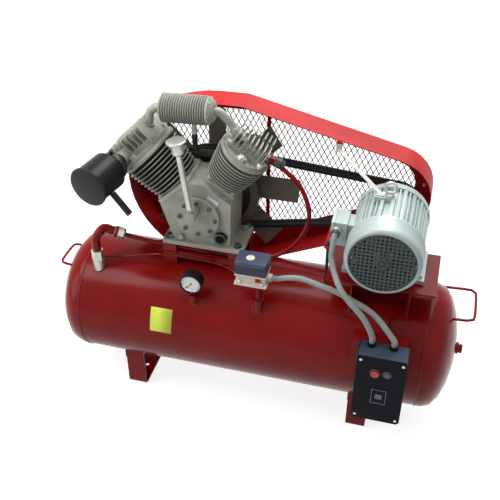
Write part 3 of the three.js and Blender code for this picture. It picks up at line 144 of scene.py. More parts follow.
world = bpy.data.worlds.new("softRoom")
bpy.context.scene.world = world
world.use_nodes = True
add = nodeTree(world.node_tree)
seen = seenRays(add)
height = add("ShaderNodeSeparateXYZ", {0: add("ShaderNodeTexCoord").outputs["Generated"]}).outputs["Z"]
sky = add("ShaderNodeMapRange", {
    "Value": height, "From Min": skySet["dimBelow"], "From Max": skySet["brightAbove"],
    "To Min": skySet["dim"], "To Max": skySet["bright"],
})
plain = add("ShaderNodeBackground", {"Color": (1, 1, 1, 1), "Strength": sky.outputs[0]})
white = add("ShaderNodeBackground", {"Color": (1, 1, 1, 1), "Strength": 1.0})
mixed = add("ShaderNodeMixShader", {0: seen, 1: plain.outputs[0], 2: white.outputs[0]})
add("ShaderNodeOutputWorld", {"Surface": mixed.outputs[0]})
bpy.context.scene.view_settings.view_transform = "Standard"
print("camera and light set")


# a colour of 0 to 255 made linear: c / 12.92 up to 0.04045, above it (c + 0.055) / 1.055 to the power 2.4
def linear(colour):
    c = np.array(colour, float) / 255
    c = np.where(c <= 0.04045, c / 12.92, ((c + 0.055) / 1.055) ** 2.4)
    return (*[float(v) for v in c], 1.0)


# main and second are the paint's two tones and worn its edges; patch and grain are the sizes of the soft
# and the fine noise, and shine is left at 0.5, coat and metal at 0 where they aren't given
finishes = {
    "tankEnamel": {
        "main": (130, 9, 10), "second": (106, 5, 6), "worn": (168, 62, 54),
        "rough": 0.17, "bump": 0.12, "grain": 60, "patch": 4, "shine": 0.13,
    },
    "guardEnamel": {
        "main": (180, 18, 24), "second": (154, 12, 18), "worn": (196, 90, 80),
        "rough": 0.42, "bump": 0.14, "grain": 80, "patch": 7, "shine": 0.16,
    },
    "castPaint": {
        "main": (164, 166, 156), "second": (138, 140, 130), "worn": (206, 205, 196),
        "rough": 0.5, "bump": 0.5, "grain": 260, "patch": 14, "metal": 0.25, "shine": 0.3,
    },
    "motorPaint": {
        "main": (176, 190, 188), "second": (158, 173, 171), "worn": (206, 214, 212),
        "rough": 0.38, "bump": 0.25, "grain": 220, "patch": 10, "metal": 0.15, "coat": 0.1, "shine": 0.4,
    },
    "zincPlate": {
        "main": (205, 206, 200), "second": (176, 178, 172), "worn": (224, 224, 218),
        "rough": 0.3, "bump": 0.12, "grain": 300, "patch": 30, "metal": 0.75,
    },
    "turnedSteel": {
        "main": (150, 148, 146), "second": (126, 124, 122), "worn": (190, 188, 186),
        "rough": 0.3, "bump": 0.1, "grain": 260, "patch": 30, "metal": 0.95,
    },
    "alloy": {
        "main": (196, 196, 198), "second": (180, 180, 182), "worn": (214, 214, 216),
        "rough": 0.32, "bump": 0.1, "grain": 260, "patch": 24, "metal": 0.9,
    },
    "bladePaint": {
        "main": (112, 106, 97), "second": (92, 87, 79), "worn": (140, 134, 124),
        "rough": 0.5, "bump": 0.2, "grain": 180, "patch": 10, "metal": 0.3, "shine": 0.2,
    },
    "beltRubber": {
        "main": (26, 26, 27), "second": (18, 18, 19), "worn": (60, 60, 60),
        "rough": 0.75, "bump": 0.3, "grain": 420, "patch": 30, "shine": 0.2,
    },
    "blackPlastic": {
        "main": (16, 20, 26), "second": (11, 14, 19), "worn": (60, 64, 74),
        "rough": 0.36, "bump": 0.18, "grain": 520, "patch": 12, "shine": 0.06,
    },
    # painted light: a lighter copy of the black plastic for the starter cover's lit top and left side
    "paintedLightStarterTop": {
        "main": (42, 53, 70), "second": (34, 43, 58), "worn": (66, 78, 100),
        "rough": 0.4, "bump": 0.18, "grain": 520, "patch": 12, "shine": 0.25,
    },
    "filterBlack": {
        "main": (26, 27, 30), "second": (17, 18, 20), "worn": (74, 76, 80),
        "rough": 0.3, "bump": 0.12, "grain": 260, "patch": 14, "coat": 0.05, "shine": 0.14,
    },
    "switchCream": {
        "main": (214, 205, 190), "second": (198, 188, 172), "worn": (226, 220, 208),
        "rough": 0.45, "bump": 0.1, "grain": 400, "patch": 20,
    },
    "switchBlue": {
        "main": (62, 70, 92), "second": (50, 57, 78), "worn": (100, 110, 150),
        "rough": 0.38, "bump": 0.12, "grain": 420, "patch": 14, "shine": 0.3,
    },
    # painted shade: a darker copy of the switch's blue for the cover's sides
    "paintedShadeSwitchBlue": {
        "main": (24, 28, 48), "second": (18, 22, 40), "worn": (50, 56, 80),
        "rough": 0.4, "bump": 0.12, "grain": 420, "patch": 14, "shine": 0.3,
    },
    "conduitGrey": {
        "main": (140, 145, 142), "second": (122, 127, 124), "worn": (188, 192, 188),
        "rough": 0.6, "bump": 0.1, "grain": 300, "patch": 16,
    },
    "stayPaint": {
        "main": (206, 204, 196), "second": (180, 178, 170), "worn": (150, 146, 140),
        "rough": 0.45, "bump": 0.1, "grain": 240, "patch": 30,
    },
    "dialWhite": {
        "main": (196, 204, 206), "second": (182, 190, 192), "worn": (230, 230, 226),
        "rough": 0.5, "bump": 0.0, "grain": 300, "patch": 20,
    },
    "inkBlack": {
        "main": (14, 14, 14), "second": (10, 10, 10), "worn": (20, 20, 20),
        "rough": 0.5, "bump": 0.0, "grain": 300, "patch": 20,
    },
    "stopRed": {
        "main": (178, 26, 20), "second": (150, 18, 16), "worn": (220, 80, 70),
        "rough": 0.3, "bump": 0.05, "grain": 300, "patch": 20, "coat": 0.3,
    },
    "startDark": {
        "main": (30, 38, 36), "second": (22, 28, 27), "worn": (70, 80, 78),
        "rough": 0.3, "bump": 0.05, "grain": 300, "patch": 20, "coat": 0.3,
    },
    "labelLime": {
        "main": (206, 222, 52), "second": (194, 210, 44), "worn": (220, 232, 110),
        "rough": 0.4, "bump": 0.03, "grain": 300, "patch": 12,
    },
    "plateBare": {
        "main": (158, 160, 158), "second": (142, 144, 142), "worn": (190, 192, 190),
        "rough": 0.36, "bump": 0.1, "grain": 340, "patch": 30, "metal": 0.7,
    },
    "meshStrand": {
        "main": (84, 36, 34), "second": (64, 32, 30), "worn": (150, 110, 104),
        "rough": 0.5, "bump": 0.1, "grain": 200, "patch": 12, "coat": 0.1,
    },
    "badgeGrey": {
        "main": (52, 56, 58), "second": (42, 46, 48), "worn": (110, 114, 122),
        "rough": 0.4, "bump": 0.05, "grain": 300, "patch": 20,
    },
    # painted shade: a darker copy of the motor paint for the fan cover's front grille and hub
    "paintedShadeFanFront": {
        "main": (74, 84, 81), "second": (62, 71, 69), "worn": (140, 150, 148),
        "rough": 0.45, "bump": 0.15, "grain": 260, "patch": 12, "metal": 0.15, "shine": 0.14,
    },
    # painted shade: a dark copy of the cast paint for the groove floors between the fins
    "paintedGrooveShade": {
        "main": (36, 38, 33), "second": (28, 30, 26), "worn": (90, 92, 84),
        "rough": 0.7, "bump": 0.2, "grain": 260, "patch": 14, "shine": 0.1,
    },
    "boltDark": {
        "main": (54, 54, 52), "second": (40, 40, 38), "worn": (110, 108, 102),
        "rough": 0.42, "bump": 0.15, "grain": 300, "patch": 30, "metal": 0.6,
    },
    "weldBead": {
        "main": (118, 16, 18), "second": (92, 10, 12), "worn": (170, 70, 62),
        "rough": 0.36, "bump": 0.4, "grain": 240, "patch": 30, "coat": 0.25, "shine": 0.16,
    },
}


# two paint tones mixed by a soft noise, lighter where an edge stands proud, a fine grain for the bump,
# and a roughness that drifts a little with the same soft noise
def makeFinish(name, d):
    material = bpy.data.materials.new(name)
    material.use_nodes = True
    add = nodeTree(material.node_tree)
    where = add("ShaderNodeTexCoord").outputs["Object"]
    soft = add("ShaderNodeTexNoise", {"Vector": where, "Scale": d["patch"], "Detail": 4, "Roughness": 0.6})
    tone = add("ShaderNodeMapRange", {"Value": soft.outputs["Fac"], "From Min": 0.35, "From Max": 0.68})
    base = add("ShaderNodeMix", {"Factor": tone.outputs[0]}, data_type="RGBA")
    base.inputs[6].default_value = linear(d["main"])
    base.inputs[7].default_value = linear(d["second"])
    scuff = add("ShaderNodeTexNoise", {"Vector": where, "Scale": d["grain"] * 0.35, "Detail": 5, "Roughness": 0.7})
    edge = add("ShaderNodeNewGeometry").outputs["Pointiness"]
    proud = add("ShaderNodeMapRange", {"Value": edge, "From Min": 0.53, "From Max": 0.66})
    wear = add("ShaderNodeMath", {0: proud.outputs[0], 1: scuff.outputs["Fac"]}, operation="MULTIPLY")
    worn = add("ShaderNodeMix", {"Factor": wear.outputs[0], 6: base.outputs[2]}, data_type="RGBA")
    worn.inputs[7].default_value = linear(d["worn"])
    rough = add("ShaderNodeMapRange", {
        "Value": soft.outputs["Fac"], "To Min": d["rough"] - 0.06, "To Max": d["rough"] + 0.12,
    })
    fine = add("ShaderNodeTexNoise", {"Vector": where, "Scale": d["grain"], "Detail": 3, "Roughness": 0.55})
    bump = add("ShaderNodeBump", {"Strength": d["bump"], "Distance": 0.0006, "Height": fine.outputs["Fac"]})
    shader = add(
        "ShaderNodeBsdfPrincipled",
        {
            "Base Color": worn.outputs[2],
            "Roughness": rough.outputs[0],
            "Metallic": d.get("metal", 0.0),
            "Coat Weight": d.get("coat", 0.0),
            "Coat Roughness": 0.12,
            "Specular IOR Level": d.get("shine", 0.5),
        },
    )
    if d["bump"] > 0:
        material.node_tree.links.new(bump.outputs[0], shader.inputs["Normal"])
    add("ShaderNodeOutputMaterial", {"Surface": shader.outputs[0]})
    return material


materials = {name: makeFinish(name, d) for name, d in finishes.items()}

# clear glass with a faint haze, part see-through so that what lies under it shows plainly
clear = bpy.data.materials.new("clearLens")
clear.use_nodes = True
add = nodeTree(clear.node_tree)
haze = add("ShaderNodeTexNoise", {"Vector": add("ShaderNodeTexCoord").outputs["Object"], "Scale": 60})
hazeRough = add("ShaderNodeMapRange", {"Value": haze.outputs["Fac"], "To Min": 0.02, "To Max": 0.08})
lens = add("ShaderNodeBsdfPrincipled", {
    "Base Color": (1, 1, 1, 1), "Roughness": hazeRough.outputs[0], "Transmission Weight": 1.0, "IOR": 1.45,
    "Alpha": 0.25,
})
add("ShaderNodeOutputMaterial", {"Surface": lens.outputs[0]})
materials["clearLens"] = clear
print("materials made", len(materials))


# which carried node gets which finish, and how wide its edges are rounded, in metres
nodeFinish = {
    "tankEnamel": [
        "tank_shell", "tank_head_left", "tank_head_right", "foot_left", "foot_right", "handle_left", "handle_right",
        "pump_platform", "motor_stand", "starter_bracket", "switch_riser", "gauge_stem", "inlet_elbow",
        "delivery_pipe", "unloader_valve",
    ],
    "guardEnamel": ["belt_guard", "guard_mesh"],
    "castPaint": [
        "crankcase", "bearing_cover", "oil_filler", "low_cylinder", "high_cylinder", "low_head", "high_head",
        "intercooler", "low_transfer_pipe", "high_transfer_pipe",
    ],
    "motorPaint": ["motor_frame", "motor_fan_cover", "terminal_box"],
    "zincPlate": ["check_valve", "breather_pipe", "breather_cap", "lifting_eye"],
    "boltDark": ["guard_stud", "filter_clamp"],
    "turnedSteel": ["crankshaft", "low_rod", "high_rod", "motor_rotor"],
    "alloy": ["low_piston", "high_piston"],
    "bladePaint": ["flywheel"],
    "beltRubber": ["belt_front", "belt_rear"],
    "filterBlack": ["air_filter", "filter_snorkel", "relief_valve"],
    "blackPlastic": ["starter_box", "starter_cover", "gauge_case", "oil_sight_glass"],
    "switchCream": ["pressure_switch_base"],
    "switchBlue": ["pressure_switch_cover"],
    "conduitGrey": ["conduit_motor", "conduit_switch"],
    "stayPaint": ["guard_stay"],
    "inkBlack": ["gauge_needle"],
    "stopRed": ["stop_button"],
    "startDark": ["start_button"],
}
edgeRound = {
    "default": 0.0012, "starter_cover": 0.004, "pressure_switch_cover": 0.004, "air_filter": 0.003,
    "crankcase": 0.003, "gauge_needle": 0.0, "guard_stay": 0.0006,
}


# welds the loose triangles, rounds edges sharper than the angle, and evens the shading over the large faces
def finishEdges(thing, width, angle=40):
    weld = thing.modifiers.new("weld", "WELD")
    weld.merge_threshold = 0.00002
    if width > 0:
        bevel = thing.modifiers.new("bevel", "BEVEL")
        bevel.width = width
        bevel.segments = 2
        bevel.limit_method = "ANGLE"
        bevel.angle_limit = math.radians(angle)
        bevel.use_clamp_overlap = True
        bevel.harden_normals = False
    even = thing.modifiers.new("evenNormals", "WEIGHTED_NORMAL")
    even.keep_sharp = True
    thing.data.polygons.foreach_set("use_smooth", np.ones(len(thing.data.polygons), bool))


for finish, members in nodeFinish.items():
    for node in members:
        thing = nodes[node]
        thing.data.materials.clear()
        thing.data.materials.append(materials[finish])
        finishEdges(thing, edgeRound.get(node, edgeRound["default"]))
print("carried nodes finished")


# quads of a rows by columns grid whose point (i, j) has index i * columns + j
def gridQuads(rows, columns, wrapRows=False, wrapColumns=False):
    i = np.arange(rows if wrapRows else rows - 1)
    j = np.arange(columns if wrapColumns else columns - 1)
    i, j = (a.ravel() for a in np.meshgrid(i, j, indexing="ij"))
    ni, nj = (i + 1) % rows, (j + 1) % columns
    return np.stack([i * columns + j, i * columns + nj, ni * columns + nj, ni * columns + j], 1)


# a piece from a list of (points in millimetres, faces), with doubled points merged and faces turned outwards
def addPiece(name, chunks, finish, body="receiver", smooth=True, sharp=35, merge=0.00002):
    points, faces, start = [], [], 0
    for p, f in chunks:
        p = np.asarray(p, float).reshape(-1, 3)
        points.append(toRow(p))
        faces.extend([int(i) + start for i in face] for face in f)
        start += len(p)
    mesh = bpy.data.meshes.new(name)
    mesh.from_pydata(np.concatenate(points).tolist(), [], faces)
    work = bmesh.new()
    work.from_mesh(mesh)
    if merge:
        bmesh.ops.remove_doubles(work, verts=work.verts, dist=merge)
    bmesh.ops.recalc_face_normals(work, faces=work.faces)
    work.to_mesh(mesh)
    work.free()
    mesh.polygons.foreach_set("use_smooth", np.full(len(mesh.polygons), smooth))
    mesh.set_sharp_from_angle(angle=math.radians(sharp))
    thing = bpy.data.objects.new(name, mesh)
    bpy.context.scene.collection.objects.link(thing)
    mesh.materials.append(materials[finish])
    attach(thing, body)
    return thing


# three square directions from one: the axis, helper cross axis, and axis cross side
def crossFrame(axis):
    axis = unit(axis)
    helper = np.array([0, 0, 1.0]) if abs(axis[2]) < 0.9 else np.array([1.0, 0, 0])
    side = unit(np.cross(helper, axis))
    return axis, side, np.cross(axis, side)


# a profile of (radius, height) turned about an axis: point = start + height*axis + radius*(cos a*side + sin a*up)
def turned(profile, start, axis, sides=48):
    axis, side, up = crossFrame(axis)
    profile = np.asarray(profile, float)
    a = np.linspace(0, 2 * np.pi, sides, endpoint=False)
    ring = np.cos(a)[:, None] * side + np.sin(a)[:, None] * up
    grid = np.asarray(start, float) + profile[:, 1][:, None, None] * axis + profile[:, 0][:, None, None] * ring[None]
    return grid.reshape(-1, 3), gridQuads(len(profile), sides, wrapColumns=True)


# a flat disc: one radius and one thickness turned about the axis
def flatDisc(start, axis, radius, thick, sides=20):
    return turned([(0, 0), (radius, 0), (radius, thick), (0, thick)], start, axis, sides)


# a box: its centre plus or minus each half size along three square directions
def brick(centre, directions, halves):
    corners = np.array([[-1, -1], [1, -1], [1, 1], [-1, 1]])
    signs = np.vstack([np.column_stack([corners, np.full(4, level)]) for level in (-1, 1)])
    points = np.asarray(centre, float) + (signs * np.asarray(halves, float)) @ np.asarray(directions, float)
    faces = np.array([[0, 3, 2, 1], [4, 5, 6, 7], [0, 1, 5, 4], [1, 2, 6, 5], [2, 3, 7, 6], [3, 0, 4, 7]])
    return points, faces


# a hexagon bolt head with a domed top: its corner radius is the width across flats over the square root of 3
def boltHead(start, axis, flats, height, sides=6):
    r = flats / math.sqrt(3)
    return turned([(0, 0), (r, 0), (r, height * 0.8), (r * 0.82, height), (0, height)], start, axis, sides)


# centripetal curve through points, the same one the solids follow: knots spaced by the square root of the gaps
def smoothRun(points, count):
    p = np.asarray(points, float)
    p = np.vstack([2 * p[0] - p[1], p, 2 * p[-1] - p[-2]])
    gaps = np.sqrt(np.maximum(np.linalg.norm(np.diff(p, axis=0), axis=1), 1e-6))
    spans = len(p) - 3
    s = np.linspace(0, spans, count)
    k = np.minimum(s.astype(int), spans - 1)
    w = s - k
    p0, p1, p2, p3 = p[k], p[k + 1], p[k + 2], p[k + 3]
    d0, d1, d2 = (gaps[k + n][:, None] for n in range(3))
    m1 = ((p1 - p0) / d0 - (p2 - p0) / (d0 + d1) + (p2 - p1) / d1) * d1
    m2 = ((p2 - p1) / d1 - (p3 - p1) / (d1 + d2) + (p3 - p2) / d2) * d1
    w = w[:, None]
    rise = 3 * w**2 - 2 * w**3
    return (1 - rise) * p1 + (w**3 - 2 * w**2 + w) * m1 + rise * p2 + (w**3 - w**2) * m2


# a round section of changing radius along a path, its frame carried without twist by one fixed side direction
def tubeAlong(path, radius, sides=14, lean=(0.3, 0.9, 0.2)):
    path = np.asarray(path, float)
    t = np.gradient(path, axis=0)
    t /= np.linalg.norm(t, axis=1)[:, None]
    side = np.cross(t, unit(lean))
    side /= np.linalg.norm(side, axis=1)[:, None]
    up = np.cross(t, side)
    a = np.linspace(0, 2 * np.pi, sides, endpoint=False)
    r = np.broadcast_to(np.asarray(radius, float), (len(path),))[:, None, None]
    ring = np.cos(a)[None, :, None] * side[:, None] + np.sin(a)[None, :, None] * up[:, None]
    grid = path[:, None] + r * ring
    points = np.vstack([grid.reshape(-1, 3), path[0], path[-1]])
    n = len(path) * sides
    j = np.arange(sides)
    after = (j + 1) % sides
    nearCap = np.stack([np.full(sides, n), after, j], 1)
    farCap = np.stack([np.full(sides, n + 1), n - sides + j, n - sides + after], 1)
    faces = gridQuads(len(path), sides, wrapColumns=True).tolist() + nearCap.tolist() + farCap.tolist()
    return points, faces


# even steps along a bent line: its length is summed up and each coordinate read off at every step
def evenSteps(points, pitch, steps):
    far = np.concatenate([[0], np.cumsum(np.linalg.norm(np.diff(points, axis=0), axis=1))])
    s = np.linspace(0, far[-1], int(far[-1] / pitch) * steps + 1)
    return s, np.stack([np.interp(s, far, points[:, k]) for k in range(3)], 1)


# the level direction square to a bank's axis
def acrossOf(axis):
    return np.array([axis[2], 0, -axis[0]])


# the two banks: heights run along each axis from the crank, radii out from it
crank = jointPoint("flywheel_spin")
lowAxis = unit(joints["low_piston_slide"]["axis"])
highAxis = unit(joints["high_piston_slide"]["axis"])
lowAcross, highAcross = acrossOf(lowAxis), acrossOf(highAxis)
lowCentre = np.array([crank[0], jointPoint("low_rod_swing")[1], crank[2]])
highCentre = np.array([crank[0], jointPoint("high_rod_swing")[1], crank[2]])

barrelSet = {
    "low_cylinder": {
        "axis": lowAxis, "centre": lowCentre, "bore": 48, "core": 60, "fins": 9, "start": 122, "top": 250,
        "small": 82, "large": 98, "flange": 66, "thick": 3.6,
    },
    "high_cylinder": {
        "axis": highAxis, "centre": highCentre, "bore": 27, "core": 40, "fins": 9, "start": 122, "top": 240,
        "small": 64, "large": 82, "flange": 54, "thick": 4.4,
    },
}


# the wall steps out to each fin and back: five points per fin, with a rounded tip, and the tips widen as a 0.8 power
def finProfile(d):
    pitch = (d["top"] - d["start"] - 14) / d["fins"]
    k = np.arange(d["fins"])
    tip = d["small"] + (d["large"] - d["small"]) * (k / (d["fins"] - 1)) ** 0.8
    low = d["start"] + k * pitch
    thick = d["thick"]
    rows = np.stack([
        np.stack([np.full(d["fins"], d["core"]), low], 1),
        np.stack([tip - 1, low + 0.6], 1),
        np.stack([tip, low + thick / 2], 1),
        np.stack([tip - 1, low + thick - 0.6], 1),
        np.stack([np.full(d["fins"], d["core"]), low + thick], 1),
    ], 1).reshape(-1, 2)
    first = [(d["bore"], 104.5), (d["core"] + 2, 104.5)]
    crown = [
        (d["core"], d["top"] - 12), (d["large"] - 1, d["top"] - 12), (d["large"], d["top"] - 10),
        (d["large"], d["top"] - 1), (d["large"] - 1, d["top"]), (d["bore"], d["top"]),
    ]
    return np.vstack([first, rows, crown, first[:1]])


# the finned wall on its flange with four bolts, and a dark sleeve a little inside the tips that paints the shade on
# the groove floors
def makeBarrel(node, d):
    axis, centre, half = d["axis"], d["centre"], d["flange"]
    across = acrossOf(axis)
    chunks = [turned(finProfile(d), centre, axis, 56)]
    chunks.append(brick(centre + axis * 110.2, (across, back, axis), (half, half, 5.8)))
    for a in (-1, 1):
        for b in (-1, 1):
            spot = centre + axis * 116 + across * a * (half - 12) + back * b * (half - 12)
            chunks.append(boltHead(spot, axis, 17, 9))
            chunks.append(flatDisc(spot - axis * 0.4, axis, 12, 1.5))
    thing = addPiece(node + "_finned", chunks, "castPaint", sharp=50)
    k = np.linspace(0, 1, 12)
    radius = d["small"] - 8 + (d["large"] - d["small"]) * k**0.8
    sleeve = np.stack([radius, d["start"] + 3 + k * (d["top"] - d["start"] - 14)], 1)
    low, high = (d["bore"] + 1, sleeve[0, 1]), (d["bore"] + 1, sleeve[-1, 1])
    closed = np.vstack([[low], sleeve, [high], [low]])
    # painted shade: the dark sleeve stands for the shade between the fins
    addPiece(node + "_painted_groove_shade", [turned(closed, centre, axis, 56)], "paintedGrooveShade", sharp=50)
    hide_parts(node)


for node, d in barrelSet.items():
    makeBarrel(node, d)
print("barrels made")

headSet = {
    "bolts": [(-60, -36), (-8, -68), (52, -48), (68, 20)], "flange": 239,
    "finsUp": 316, "finsAside": (-4, 7, 18, 29), "finHalves": (1.6, 52, 12),
}
caseSet = {
    "coverBolts": 8, "coverRing": 57, "coverFront": toHere(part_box("bearing_cover")[0])[1] + 6.6,
    "baseFront": -44, "baseTop": 584, "endIn": 20, "rowIn": 22, "backRow": 96,
}
inletSet = {"at": (-446.0, -50, 588), "aim": (-0.85, -0.3, 0.43)}
outletSet = {"up": 264, "aside": 52, "aim": (0.96, -0.1, -0.25)}


# bolt heads with their washers on the high stage's top flange
def makeHeadBolts(d):
    chunks = []
    for dx, dy in d["bolts"]:
        spot = highCentre + highAxis * d["flange"] + highAcross * dx + back * dy
        chunks.append(flatDisc(spot + highAxis * 14.2, highAxis, 11, 2))
        chunks.append(boltHead(spot + highAxis * 16, highAxis, 15, 10))
    addPiece("head_bolts", chunks, "zincPlate", smooth=False)


# bolt heads on a circle round the bearing cover, and at the four corners of the crankcase's base
def makeCaseBolts(d):
    chunks = []
    for k in range(d["coverBolts"]):
        a = k / d["coverBolts"] * 2 * np.pi
        x, z = crank[0] + d["coverRing"] * math.cos(a), crank[2] + d["coverRing"] * math.sin(a)
        chunks.append(boltHead((x, d["coverFront"], z), (0, -1, 0), 12.8, 7.4))
    low, high = (toHere(c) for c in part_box("crankcase"))
    for x in (low[0] + d["endIn"], high[0] - d["endIn"]):
        for y in (d["baseFront"] + d["rowIn"], high[1] - d["rowIn"] if high[1] < 100 else d["backRow"]):
            chunks.append(boltHead((x, y, d["baseTop"] + 0.5), upright, 20, 11))
            chunks.append(flatDisc((x, y, d["baseTop"]), upright, 14, 2))
    addPiece("case_bolts", chunks, "boltDark", smooth=False)


# upright plates side by side across the top of the low stage's head
def makeHeadFins(d):
    chunks = []
    for aside in d["finsAside"]:
        spot = lowCentre + lowAxis * d["finsUp"] + lowAcross * aside
        chunks.append(brick(spot, (lowAcross, back, lowAxis), d["finHalves"]))
    addPiece("low_head_fins", chunks, "castPaint", smooth=False)


# six-sided nuts where the delivery pipe meets the receiver's elbow
def makeInletUnion(d):
    spot, axis = np.array(d["at"]), unit(d["aim"])
    nut = [turned([(0, -15), (19.4, -15), (19.4, 4), (0, 4)], spot, axis, 6)]
    nut.append(turned([(0, 4), (16.6, 4), (16.6, 15), (0, 15)], spot, axis, 6))
    addPiece("inlet_union", nut, "zincPlate", smooth=False)
    ring = [turned([(0, -20), (17, -20), (17, -14), (0, -14)], spot, axis, 24)]
    addPiece("inlet_union_ring", ring, "boltDark", smooth=False)


# a six-sided nut with a round collar where the delivery pipe leaves the high stage's head
def makeOutletUnion(d):
    spot = highCentre + highAxis * d["up"] + highAcross * d["aside"]
    axis = unit(d["aim"])
    nut = [(0, 0), (15, 0), (15, 14), (13, 15), (13, 30), (10, 32), (0, 32)]
    chunks = [turned(nut, spot + axis * 34, axis, 6), flatDisc(spot + axis * 44, axis, 17, 12)]
    addPiece("delivery_union", chunks, "boltDark", sharp=30)


makeHeadBolts(headSet)
makeCaseBolts(caseSet)
makeHeadFins(headSet)
makeInletUnion(inletSet)
makeOutletUnion(outletSet)
print("fasteners made")

coolerSet = {"left": (-300, 37, 1006), "right": (-162, 41, 1010), "ribs": 19, "outer": 44, "core": 34}


# ribs as a raised cosine along the drum, with a stepped cap at each end
def makeCooler(d):
    start, end = np.array(d["left"], float), np.array(d["right"], float)
    length = np.linalg.norm(end - start)
    h = np.linspace(0, length, d["ribs"] * 12 + 1)
    wave = 0.5 - 0.5 * np.cos(h / length * d["ribs"] * 2 * np.pi)
    body = np.stack([d["core"] + (d["outer"] - d["core"]) * wave**0.3, h], 1)
    low = [(0, -1), (14, -1), (14, -6), (24, -6), (31, -5), (36, -1), (d["core"], 0)]
    high = [
        (40, length + 0.5), (42, length + 2), (42, length + 8), (39, length + 9), (33, length + 18),
        (24, length + 24), (14, length + 24), (14, length + 16), (0, length + 16),
    ]
    axis = unit(end - start)
    chunks = [turned(np.vstack([low, body, high]), start, axis, 40)]
    _, side, up = crossFrame(axis)
    for k in range(6):
        a = k / 6 * 2 * np.pi
        out = np.cos(a) * side + np.sin(a) * up
        chunks.append(boltHead(end + axis * 8.5 + out * 36, axis, 8, 4))
    thing = addPiece("intercooler_ribbed", chunks, "castPaint", sharp=60)
    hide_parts("intercooler")


makeCooler(coolerSet)
print("intercooler made")

motorAxis = jointPoint("motor_spin")
coverLow, coverHigh = (toHere(c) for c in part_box("motor_fan_cover"))
coverSet = {
    "radius": 111, "depth": 76, "pitch": 11.9, "bar": 5.0, "grille": 102, "hub": 19, "holesTo": 92, "edge": 99.5,
    "face": 1.6, "sheet": 2,
}


# the shell is a profile turned about the motor's axis; the grille is a sheet of squares between lines that step
# by a bar and a hole in turn, where a square between two hole steps is left out and the rim is pulled in to a
# circle;
# grille and hub take a darker copy of the motor paint, painted shade on the cover's front
def makeFanCover(d):
    front = np.array([motorAxis[0], coverLow[1], motorAxis[2]])
    r, depth = d["radius"], d["depth"]
    skin = [
        (97, 3), (97, 0.6), (98, 0), (102, 0.4), (106.5, 3.5), (109.5, 9), (r, 18), (r, depth - 8),
        (r + 0.8, depth - 7), (r + 0.8, depth), (r - 2, depth), (r - 2, 18), (104, 6), (97, 3),
    ]
    n = int(d["grille"] // d["pitch"]) + 1
    lines = ((np.arange(-n, n + 1) * d["pitch"])[:, None] + np.array([-d["bar"] / 2, d["bar"] / 2])).ravel()
    m = len(lines)
    gx, gz = np.meshgrid(lines, lines, indexing="ij")
    i, j = (a.ravel() for a in np.meshgrid(np.arange(m - 1), np.arange(m - 1), indexing="ij"))
    middle = np.hypot((lines[i] + lines[i + 1]) / 2, (lines[j] + lines[j + 1]) / 2)
    outer = np.maximum(np.abs(lines[:-1]), np.abs(lines[1:]))
    hole = (i % 2 == 1) & (j % 2 == 1) & (middle > d["hub"]) & (middle < d["holesTo"])
    keep = ~hole & (np.hypot(outer[i], outer[j]) < d["grille"] + 4)
    quads = np.stack([i * m + j, (i + 1) * m + j, (i + 1) * m + j + 1, i * m + j + 1], 1)[keep]
    used = np.unique(quads)
    index = np.full(m * m, -1)
    index[used] = np.arange(len(used))
    flat = np.stack([gx.ravel(), np.full(m * m, d["face"]), gz.ravel()], 1)[used]
    pull = np.minimum(1, d["edge"] / np.maximum(np.hypot(flat[:, 0], flat[:, 2]), 1))
    flat[:, [0, 2]] *= pull[:, None]
    cover = addPiece("fan_cover_shell", [turned(skin, front, back, 72)], "motorPaint", sharp=50)
    squares = [(flat + front, index[quads])]
    # painted shade: grille and hub are darker than the shell
    grille = addPiece("fan_cover_grille", squares, "paintedShadeFanFront", smooth=False)
    thick = grille.modifiers.new("sheet", "SOLIDIFY")
    thick.thickness = d["sheet"] / 1000
    thick.offset = 0
    hub = [(13, 1), (13, -0.6), (14, -1.4), (16, -1.4), (17, -0.6), (17, 1), (13, 1)]
    bolt = [(0, -2), (3.6, -2), (4.4, -1.2), (4.4, 1), (0, 1)]
    chunks = [turned(hub, front, back, 40), turned(bolt, front, back, 20)]
    addPiece("fan_cover_hub", chunks, "paintedShadeFanFront", sharp=50)
    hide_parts("motor_fan_cover")


makeFanCover(coverSet)
print("fan cover made")

ribSet = {
    "count": 22, "from": 10, "to": 150, "gapAt": 98, "gap": 14, "radius": 101, "backEnd": 62, "halves": (6, 1.5),
}


# thin ribs between the frame's wide ones: one at each whole share of the turn, between two angles and off one gap
def makeMotorRibs(d):
    chunks = []
    front = coverHigh[1] + 0.5
    half = (d["backEnd"] - front) / 2
    for k in range(d["count"]):
        a = k / d["count"] * 2 * np.pi
        turn = math.degrees(a)
        if not d["from"] < turn < d["to"] or abs(turn - d["gapAt"]) < d["gap"]:
            continue
        out = np.array([math.cos(a), 0, math.sin(a)])
        side = np.array([-math.sin(a), 0, math.cos(a)])
        centre = np.array([motorAxis[0], front + half, motorAxis[2]]) + out * d["radius"]
        chunks.append(brick(centre, (out, back, side), (d["halves"][0], half, d["halves"][1])))
    addPiece("motor_thin_ribs", chunks, "motorPaint", smooth=False)


makeMotorRibs(ribSet)
print("motor ribs made")

# the guard's border touches four circles (x, z, radius); an expanded mesh fills it and small bolts run round it
guardSet = {
    "circles": [(-173, 690, 300), (380, 754, 126), (-316, 950, 12), (-84, 980, 12)], "middle": (50.0, 720.0),
    "inset": 47, "back": 219, "wide": 18.5, "tall": 35, "strand": 2.5, "thick": 1.6, "boltInset": 27, "bolts": 17,
}


# for each direction round the loop: the unit normal, how far out the touching line is, and the point it touches
def guardEdge(d, count):
    a = np.linspace(0, 2 * np.pi, count, endpoint=False)
    normal = np.stack([np.cos(a), np.sin(a)], 1)
    circles = np.array(d["circles"], float)
    reach = normal @ circles[:, :2].T + circles[:, 2]
    best = reach.argmax(1)
    touch = circles[best, :2] + circles[best, 2][:, None] * normal
    return normal, reach.max(1), touch


